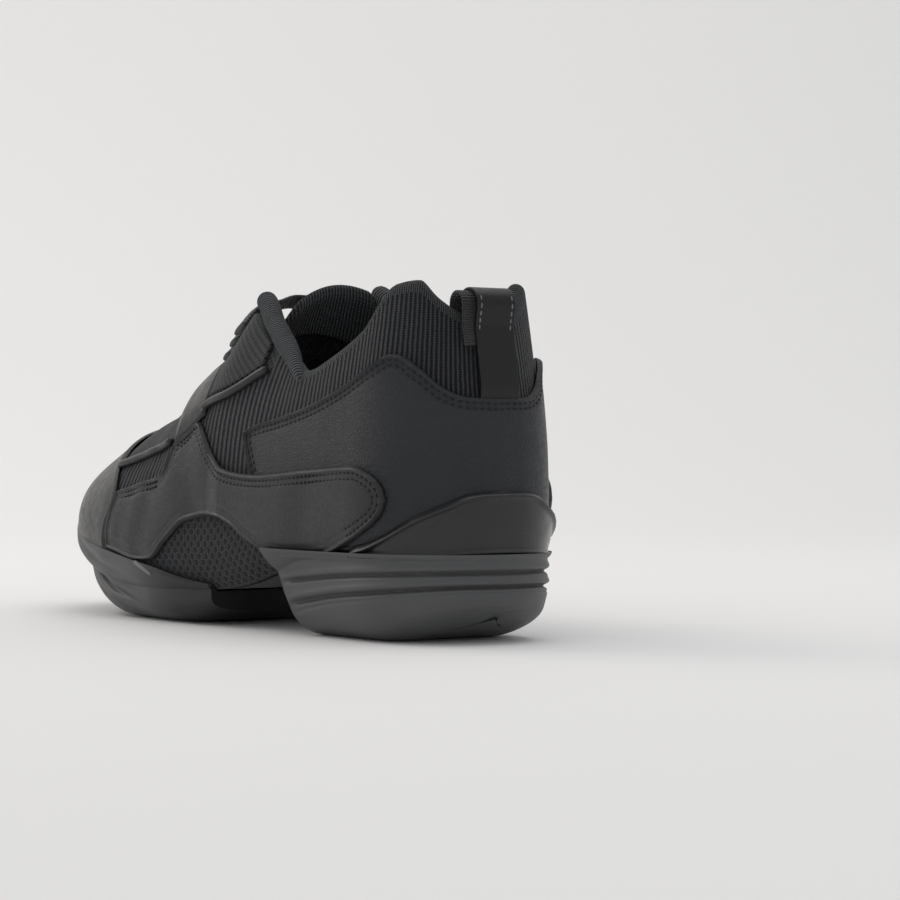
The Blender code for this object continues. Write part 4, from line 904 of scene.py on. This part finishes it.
def tube(route, radius, sides=20, ribs=None):
    """A round cord along a route: rings square to it, ends drawn in to a dome; ribs swell the radius."""
    route = np.asarray(route, float)
    along = travelled(route)
    tangent = unit(np.gradient(route, axis=0))
    side = unit(np.cross(tangent, (0.31, 0.22, 0.93)))
    third = np.cross(tangent, side)
    to_end = np.minimum(along, along[-1] - along)
    dome = np.sqrt(1 - (1 - np.clip(to_end / radius, 0, 1)) ** 2)
    size = radius * dome * (1 + (0 if ribs is None else ribs(along)))
    angle = np.linspace(0, 2 * np.pi, sides + 1)
    ring = (route[:, None] + size[:, None, None] * (side[:, None] * np.cos(angle)[None, :, None]
                                                   + third[:, None] * np.sin(angle)[None, :, None]))
    uv = np.stack(np.broadcast_arrays(along[:, None] / MM, angle[None, :] * radius / MM), -1)
    return ring, uv


def even_points(points, count):
    """A line of points spaced evenly along itself."""
    length = travelled(points)
    return blend(np.linspace(0, length[-1], count), length, points)


cord_leather = leather("corded_edge_leather", "#222325", "#303133", 0.3, 0.8, 0.38)
for part, first, last in PIPING_ENDS:
    for side, name in ((-1, "lateral"), (1, "medial")):
        s = np.linspace(first, last, 60)
        a = place_of(s, side)
        line = skin(a, t_at(a, smooth_curve(PIPING_LINE, s) * COLLAR_HEIGHT), CLEAR + 0.5 * MM)
        ring, uv = tube(even_points(line, 80), PIPING_RADIUS, 16)
        put_mesh("cord_" + part + "_" + name, ring, grid_faces(*ring.shape[:2]), [cord_leather], uv,
                 nodes=["piping_" + part + "_" + name])

# Collar bands
# Thick tape, woven with ribs across it and rolled, one on each side. Each is sewn along the front half of
# the collar and thins towards the back, where it tucks in.
BAND_RADIUS = 3.4 * MM
BAND_START = 0.262             # shares of length
BAND_END = {-1: 0.436, 1: 0.42}


def woven_tape(name, low, high):
    """Cotton tape: threads across the roll, each broken by the weave. The eye gets fine matt ridges with a
    dusty edge. The colour follows the height: painted shade in the dips between threads, with random tone
    from the fuzz."""
    mat, shader = start_material(name, 0.85, Sheen_Weight=0.3, Specular_IOR_Level=0.3)
    uv, along, up = cloth_axes(mat)
    thread = maths(mat, "SINE", maths(mat, "MULTIPLY", along, 2 * math.pi / 1.1))
    weave = maths(mat, "SINE", maths(mat, "MULTIPLY", up, 2 * math.pi / 0.9))
    fuzz = add(mat, "TexNoise", Vector=uv, Scale=2.5, Detail=3.0, Roughness=0.7).outputs[0]
    height = maths(mat, "MULTIPLY_ADD", thread, 0.35, maths(mat, "MULTIPLY_ADD", weave, 0.1,
                                                            maths(mat, "MULTIPLY", fuzz, 0.9)))
    # Colour from the height: painted shade between the threads, random tone from the fuzz.
    finish_material(mat, shader, height, 0.4 * MM, low, high)
    return mat


band_tape = woven_tape("woven_cotton_tape", "#0b0c0e", "#4e5257")
for side, name in ((-1, "lateral"), (1, "medial")):
    s = np.linspace(BAND_START, BAND_END[side], 90)
    a = place_of(s, side)
    edge = surface(a, 1.0)
    lift = unit(unit(edge - surface(a, 0.98)) + 0.25 * normal(a, 1.0))
    size = BAND_RADIUS * (1 - 0.62 * np.clip(1 - (s - s[0]) / 0.07, 0, 1) ** 1.5)
    route = edge + lift * (size + 0.2 * MM - 3 * MM * np.clip(1 - (s - s[0]) / 0.03, 0, 1) ** 2)[:, None]
    length = travelled(route)
    ring, uv = tube(even_points(route, 260), BAND_RADIUS, 30,
                    lambda along: np.interp(along, length, size) / BAND_RADIUS - 1
                    + 0.03 * np.sin(along * 2 * np.pi / (1.1 * MM)))
    band = put_mesh("band_roll_" + name, ring, grid_faces(*ring.shape[:2]), [band_tape], uv,
                    nodes=["collar_band_" + name])

# Tongue
# Spacer knit over thin foam, closed round its edge. Its front end is sewn under the vamp; its free top
# stands a little above the collar, bowed across and shifted towards the inner side.
TONGUE_FRONT = 0.63            # shares of length between which it lies under the throat
TONGUE_REAR = 0.435
TONGUE_FREE = 0.8              # share of its own length where the free top begins
TONGUE_TOP = 116 * MM
TONGUE_DROP = 3.4 * MM         # its face below the throat's edges
TONGUE_HALF = 20 * MM
TONGUE_BEND = 26 * MM          # radius of the bend from side to side
TONGUE_LEAN = 7 * MM           # set-back of the free top
TONGUE_SHIFT = 4 * MM
TONGUE_PLUMP = 2.2 * MM        # half its thickness


def make_tongue():
    """A sheet along the throat's crest, bowed across, thick in the middle and thin at its edges."""
    v = np.linspace(0, 1, 110)[:, None]
    w = np.linspace(-1, 1, 61)[None, :]
    s = TONGUE_FRONT + (TONGUE_REAR - TONGUE_FRONT) * np.minimum(v / TONGUE_FREE, 1.0)
    crest = np.minimum(section("top_z_l", s), section("top_z_m", s)) * COLLAR_HEIGHT
    above = np.clip((v - TONGUE_FREE) / 0.2, 0, 1)
    z = crest - TONGUE_DROP
    z = z + (TONGUE_TOP - z) * above
    y = s * LENGTH - HEEL_REST_BACK - TONGUE_LEAN * above
    half = TONGUE_HALF * (1.0 - 0.12 * v) * np.sqrt(1 - np.clip((v - 0.93) / 0.07, 0, 1) ** 2 * 0.35)
    flat = w * half
    x = flat + TONGUE_SHIFT * above
    bend = flat * flat / (2 * TONGUE_BEND) - 0.16 * flat * above
    out = np.array([0, 0.35, 0.94])
    middle = np.stack([x, y - 0.4 * bend * (v > TONGUE_FREE), z - bend], -1) - out * TONGUE_PLUMP
    edge = np.minimum(np.minimum(v, 1 - v) * 100 * MM, (1 - abs(w)) * half)
    plump = TONGUE_PLUMP * np.sqrt(1 - (1 - np.clip(edge / (3.5 * MM), 0, 1)) ** 2)
    top = middle + out * plump[..., None]
    below = middle - out * plump[..., None]
    uv = np.stack(np.broadcast_arrays(x, v * 70 * MM), -1) / MM
    return top, below, uv


top, below, uv = make_tongue()
n, m = top.shape[:2]
tongue = put_mesh("tongue_pad", np.concatenate([top.reshape(-1, 3), below.reshape(-1, 3)]),
                  np.concatenate([grid_faces(n, m), grid_faces(n, m, n * m, True)]),
                  [ribbed_knit("tongue_spacer_knit", "#0b0c0e", "#494d52", 1.2)],
                  np.concatenate([uv.reshape(-1, 2)] * 2), nodes=["tongue"])

# Laces
# Flat ribbed lace, drawn as three bars that end open on the eyestays; no eyelets are built. The top one
# bulges forward as a tight roll, as in the photo.
LACE_THICK = 2.2 * MM
# Share of length, width, arch
LACE_BARS = ((0.458, 9.0 * MM, 4.5 * MM), (0.486, 6.0 * MM, 0.2 * MM), (0.511, 6.0 * MM, 0.0 * MM))
lace_tape = woven_tape("flat_woven_lace", "#0a0b0c", "#5c5f62")
for number, (s_mid, width, arch) in enumerate(LACE_BARS):
    half = width / LENGTH / 2 * 0.8
    ends = np.array([skin(place_of(s_mid, side), t, 1.8 * MM)
                     for side, t in ((-1, 0.94), (-1, 0.975), (-1, 1.0), (1, 1.0), (1, 0.975), (1, 0.94))])
    middle = (ends[2] + ends[3]) / 2 + np.array([0, arch * 1.3, arch * 0.7])
    line = even_points(np.concatenate([ends[:3], [middle], ends[3:]]), 90)
    knots = np.linspace(0, 89, 7).astype(int)
    smooth = [smooth_curve(np.stack([knots, line[knots, c]], -1), np.arange(90)) for c in range(3)]
    line = even_points(np.stack(smooth, -1), 120)
    tangent = unit(np.gradient(line, axis=0))
    flat = np.array([0.0, 0.89, -0.45])
    out = np.cross(tangent, flat)
    out *= np.sign(out[:, 2:3] + 1e-9)
    angle = np.linspace(0, 2 * np.pi, 25)
    ribs = 1 + 0.05 * np.sin(np.arange(120) / 119 * 2 * np.pi * 28)
    ring = (line[:, None] + out[:, None] * LACE_THICK / 2
            + flat * (np.cos(angle) * width / 2)[None, :, None]
            + out[:, None] * (np.sin(angle) * LACE_THICK / 2)[None, :, None] * ribs[:, None, None])
    faces = grid_faces(120, 25).tolist() + [list(range(24)), [119 * 25 + j for j in range(24)][::-1]]
    uv = np.stack(np.broadcast_arrays(np.arange(120)[:, None] * 0.4, angle[None] * width / 2 / MM), -1)
    put_mesh("lace_%d" % (number + 1), ring, faces, [lace_tape], uv,
             nodes=["lace_bar_%d" % (number + 1)])

# Highlight stroke
# A sliver of light grey between the side leather and the forefoot sole, where the mesh window's tip
# meets the sole: a painted highlight, built as a thin smooth tube that gives the eye one small light stroke.
HIGHLIGHT_LINE = ((0.566, 0.158), (0.583, 0.174), (0.602, 0.192))
highlight_mat, highlight_shader = start_material("painted_highlight_grey", 0.35)
# Light grey colour: a painted highlight.
highlight_shader.inputs["Base Color"].default_value = linear("#6f7173")
for side, name in ((-1, "lateral"), (1, "medial")):
    s = np.linspace(HIGHLIGHT_LINE[0][0], HIGHLIGHT_LINE[-1][0], 30)
    a = place_of(s, side)
    line = skin(a, t_at(a, smooth_curve(HIGHLIGHT_LINE, s) * COLLAR_HEIGHT), 2.4 * MM)
    ring, uv = tube(even_points(line, 40), 0.75 * MM, 14)
    put_mesh("painted_highlight_stroke_" + name, ring, grid_faces(*ring.shape[:2]), [highlight_mat], uv)

# Pull loop
# Smooth leather ribbon over ribbed webbing, folded over the back of the collar and stitched along
# both edges near its top.
LOOP_WIDTH = 14 * MM
LOOP_TOP = 107 * MM
LOOP_THICK = 1.0 * MM
WEBBING_THICK = 0.8 * MM
WEBBING_SHIFT = -3.8 * MM      # it shows on the outer side


def loop_route(lift):
    """Line of the loop seen from the side: up the heel seam, over a half circle, down inside the collar."""
    t = np.linspace(float(t_at(0.0, 0.675 * COLLAR_HEIGHT)), 1.0, 40)
    outside = skin(0.0, t, (0.8 * MM + lift) * np.clip(np.arange(40) / 8, 0.1, 1))
    inside_y = surface(0.0, 1.0)[1] + 5.7 * MM
    centre = (outside[-1, 1] - lift + inside_y) / 2
    half = abs(inside_y - outside[-1, 1] + lift) / 2
    angle = np.linspace(np.pi, 0, 40)[1:]
    top = LOOP_TOP - half
    arc = np.stack([0 * angle, centre + (half + lift) * np.cos(angle),
                    top + (half + lift) * np.sin(angle)], -1)
    down = np.stack([np.zeros(20), np.full(20, arc[-1, 1]) + np.linspace(0, 0.8, 20) * MM,
                     np.linspace(arc[-1, 2], surface(0.0, 1.0)[2] - 10 * MM, 21)[1:]], -1)
    line = even_points(np.concatenate([outside, arc, down]), 160)
    for _ in range(6):
        line[1:-1] = (line[:-2] + 2 * line[1:-1] + line[2:]) / 4
    return line


def ribbon(route, width, thick, shift=0.0):
    """A flat strip along a line in the plane x = shift, its edges rounded."""
    tangent = unit(np.gradient(route, axis=0))
    out = np.stack([0 * tangent[:, 0], -tangent[:, 2], tangent[:, 1]], -1)
    angle = np.linspace(0, 2 * np.pi, 41)
    x = np.sign(np.cos(angle)) * (width / 2 - thick / 2 * (1 - np.abs(np.cos(angle)) ** 0.5))
    h = np.sign(np.sin(angle)) * np.abs(np.sin(angle)) ** 0.6 * thick / 2
    ring = route[:, None] + out[:, None] * (h + thick / 2)[None, :, None]
    ring[..., 0] = shift + x[None, :]
    return ring


route = loop_route(0.7 * MM)
ring = ribbon(route, LOOP_WIDTH, LOOP_THICK)
faces = grid_faces(*ring.shape[:2]).tolist() + [list(range(40)), [159 * 41 + j for j in range(40)][::-1]]
loop_leather = leather("smooth_loop_leather", "#0f1012", "#18191b", 0.1, 0.3, 0.36)
put_mesh("loop_leather_strip", ring, faces, [loop_leather], sharp=60,
         nodes=["pull_loop"])

webbing = loop_route(-0.1 * MM)
webbing = even_points(webbing[np.argmax(webbing[:, 2] > 0.83 * COLLAR_HEIGHT):], 160)
ring = ribbon(webbing, LOOP_WIDTH, WEBBING_THICK, WEBBING_SHIFT)
uv = np.stack(np.broadcast_arrays(np.arange(160)[:, None] * 0.35, ring[..., 0] / MM), -1)
put_mesh("loop_webbing_strip", ring, faces, [woven_tape("loop_webbing", "#030406", "#24262b")], uv,
         sharp=60)

# Stitching
# Dark bonded thread, two rows along each turned edge, a stitch every 2.2 mm and each one drawn a little
# into the leather; the loop's few stitches are grey.
SUNK = 0.2 * MM                # stitches drawn into the leather


def inset_row(a, t, d, inward):
    """The line (a, t) moved over the surface by d, to its left for inward 1 and to its right for -1: the
    step is split between a and t through the surface's own slopes."""
    e = 0.002
    points = surface(a, t)
    step = np.cross(normal(a, t), unit(np.gradient(points, axis=0))) * d * inward
    by_a = (surface(a + e, t) - surface(a - e, t)) / (2 * e)
    by_t = (surface(a, np.minimum(t + e, 1)) - surface(a, t - e)) / (np.minimum(t + e, 1) - t + e)[:, None]
    aa, at, tt = (by_a ** 2).sum(1), (by_a * by_t).sum(1), (by_t ** 2).sum(1)
    ra, rt = (by_a * step).sum(1), (by_t * step).sum(1)
    det = aa * tt - at * at
    return a + (ra * tt - rt * at) / det, t + (rt * aa - ra * at) / det


def stitch_run(a, t, off, edge=None, away=0.0, pitch=2.2 * MM):
    """Middle, direction and outward normal of each stitch, evenly spaced along the line (a, t), leaving out
    those nearer than away to the edge line."""
    line = crest_skin(a, t, off)
    out = normal(a, t)
    length = travelled(line)
    want = np.arange(pitch, length[-1] - pitch, pitch)
    middle, outward = blend(want, length, line), blend(want, length, out)
    ahead = blend(want + 0.3 * MM, length, line) - middle
    keep = np.ones(len(want), bool) if edge is None else nearest(middle, edge) > away
    return middle[keep], ahead[keep], outward[keep]


def stitches(name, runs, mat, long=1.5 * MM, radius=0.3 * MM):
    """One capsule for each stitch: seven rings of six points whose radius follows a flattened bell."""
    middle, ahead, outward = (np.concatenate([run[k] for run in runs]) for k in range(3))
    ahead = unit(ahead)
    across = unit(np.cross(outward, ahead))
    up = np.cross(ahead, across)
    place = np.linspace(-1, 1, 7)
    size = radius * (1 - place ** 4) ** 0.5 + 0.02 * MM
    angle = np.linspace(0, 2 * np.pi, 7)
    along = (place * long / 2)[None, :, None, None] * ahead[:, None, None]
    drop = (-0.35 * radius * place ** 2)[None, :, None, None] * up[:, None, None]
    ring = (size[:, None] * np.cos(angle))[None, ..., None] * across[:, None, None] + \
        (size[:, None] * np.sin(angle))[None, ..., None] * up[:, None, None]
    points = middle[:, None, None] + along + drop + ring
    points = points[:, :, :6]
    count = len(middle)
    i, j = np.meshgrid(np.arange(6), np.arange(6), indexing="ij")
    quad = np.stack([i * 6 + j, (i + 1) * 6 + j, (i + 1) * 6 + (j + 1) % 6, i * 6 + (j + 1) % 6], -1)
    quad = quad.reshape(-1, 4)
    start = (np.arange(count) * 42)[:, None, None]
    faces = (quad[None] + start).reshape(-1, 4).tolist()
    ends = np.array([np.arange(6)[::-1], 36 + np.arange(6)])
    faces += (ends[None] + start).reshape(-1, 6).tolist()
    return put_mesh(name, points, faces, [mat], merge=1e-7)


def edge_line(grid_part):
    """Dense line of points on the surface along the places (a, t)."""
    return even_points(surface(*grid_part), 900)


def thread(name, low, high):
    """Bonded polyester thread. The eye gets small glossy dots. Its twist is too fine to show and is
    drawn as noise."""
    mat, shader = start_material(name, 0.5, Specular_IOR_Level=0.4)
    where = add(mat, "TexCoord").outputs["Object"]
    twist = add(mat, "TexNoise", Vector=where, Scale=2600.0).outputs[0]
    finish_material(mat, shader, twist, 0.05 * MM, low, high)
    return mat


dark_thread = thread("bonded_dark_thread", "#050506", "#17181a")
runs = []
for a, t in side_grids():
    left = 1 if a[0, 0] < 1 else -1
    border = edge_line((np.concatenate([a[::-1, 0], a[:, -1]]), np.concatenate([t[::-1, 0], t[:, -1]])))
    for d in SIDE_ROWS:
        for part, first, last, sign in ((-1, 0.064, 0.545, -1), (0, 0.064, 0.13, 1), (-1, 0.56, 0.672, -1)):
            s_line = fold(a[:, part])[1]
            keep = (s_line >= first) & (s_line <= last)
            row = inset_row(a[keep, part], t[keep, part], d, -sign * left)
            off = over_quarter(*row) + LEATHER - SUNK
            runs.append(stitch_run(*row, off, border, 0.93 * d))
stitches("side_stitches", runs, dark_thread)
runs = []
(a, t), = quarter_grid()
for d in QUARTER_ROWS:
    row = inset_row(a[:, -1], t[:, -1], d, -1)
    runs.append(stitch_run(*row, 1.5 * CLEAR + LEATHER - SUNK, edge_line((a[:, -1], t[:, -1])),
                           0.93 * d, 2.4 * MM))
stitches("quarter_stitches", runs, dark_thread, 1.7 * MM, 0.36 * MM)
runs = []
for a, t in strap_grids():
    left = 1 if a[0, 0] < 1 else -1
    for d in STRAP_ROWS:
        row = inset_row(a[:, 0], t[:, 0], d, left)
        runs.append(stitch_run(*row, STRAP_LIFT + LEATHER, pitch=1.9 * MM))
for a, t in toe_grids():
    left = 1 if a[0, 0] < 1 else -1
    low_part = t[0] < 0.62
    row = inset_row(a[0, low_part], t[0, low_part], 1.2 * MM, left)
    runs.append(stitch_run(*row, CLEAR + TOE_LEATHER, pitch=1.9 * MM))
stitches("strap_and_toe_stitches", runs, dark_thread, 1.2 * MM, 0.22 * MM)
runs = []
upright = route[(route[:, 2] > 96 * MM) & (np.arange(160) < 90)]
for shift in (-5.6 * MM, 5.6 * MM):
    middle = even_points(upright, 6)[:5] + np.array([shift, 0, 0])
    ahead = np.gradient(middle, axis=0)
    outward = unit(np.stack([0 * ahead[:, 0], -ahead[:, 2], ahead[:, 1]], -1))
    runs.append((middle + outward * LOOP_THICK, ahead, outward))
stitches("loop_stitches", runs, thread("grey_thread", "#4a4c50", "#8a8d92"), 1.7 * MM, 0.25 * MM)

# Stage
# Pale sweep of matt paper, curved up behind the shoe so that no horizon shows. Soft studio light falls
# from the toe side, with a weak fill from behind the camera.
VIEW = np.array([0.5446, 0.8387])
paper_mat, paper_shader = start_material("matt_paper", 0.9)
paper_shader.inputs["Base Color"].default_value = linear("#fafafa")
profile_d = np.concatenate([[-3.0, 0.9], 0.9 + 0.7 * np.sin(np.linspace(0, np.pi / 2, 24)[1:]), [1.6]])
profile_z = np.concatenate([[0.0, 0.0], 0.7 - 0.7 * np.cos(np.linspace(0, np.pi / 2, 24)[1:]), [3.2]])
width = np.linspace(-3.5, 3.5, 3)
points = np.stack([VIEW[0] * profile_d[:, None] + VIEW[1] * width[None], VIEW[1] * profile_d[:, None]
                   - VIEW[0] * width[None], profile_z[:, None] + 0 * width[None]], -1)
paper_mesh = bpy.data.meshes.new("paper")
paper_mesh.from_pydata(points.reshape(-1, 3).tolist(), [], grid_faces(*points.shape[:2], flip=True).tolist())
paper_mesh.materials.append(paper_mat)
paper_mesh.shade_smooth()
paper = bpy.data.objects.new("paper", paper_mesh)
bpy.context.scene.collection.objects.link(paper)
for name, place, aim, size, power, colour in (
        ("key", (-0.55, 1.2, 1.0), (0, 0.1, 0.05), 0.9, 5, "#fff6ec"),
        ("fill", (-1.2, -0.9, 0.8), (0, 0.05, 0.05), 1.2, 0.5, "#f4f7ff"),
        ("top", (0.3, 0.1, 1.5), (0, 0.08, 0.05), 1.2, 4, "#ffffff")):
    lamp = bpy.data.lights.new(name, "AREA")
    lamp.size = size
    lamp.energy = power
    lamp.color = linear(colour)[:3]
    holder = bpy.data.objects.new(name, lamp)
    holder.location = place
    holder.rotation_euler = (Vector(aim) - Vector(place)).to_track_quat("-Z", "Y").to_euler()
    bpy.context.scene.collection.objects.link(holder)
world = bpy.data.worlds.new("studio")
world.use_nodes = True
world.node_tree.nodes["Background"].inputs[0].default_value = linear("#ebebeb")
world.node_tree.nodes["Background"].inputs[1].default_value = 0.70
bpy.context.scene.world = world
camera = bpy.data.objects.new("camera", bpy.data.cameras.new("camera"))
camera.data.lens = 105.6
camera.location = (-0.4491, -0.7002, 0.059)
camera.rotation_euler = (math.radians(90), 0, math.radians(-33))
bpy.context.scene.collection.objects.link(camera)
bpy.context.scene.camera = camera
bpy.context.scene.view_settings.view_transform = "Standard"
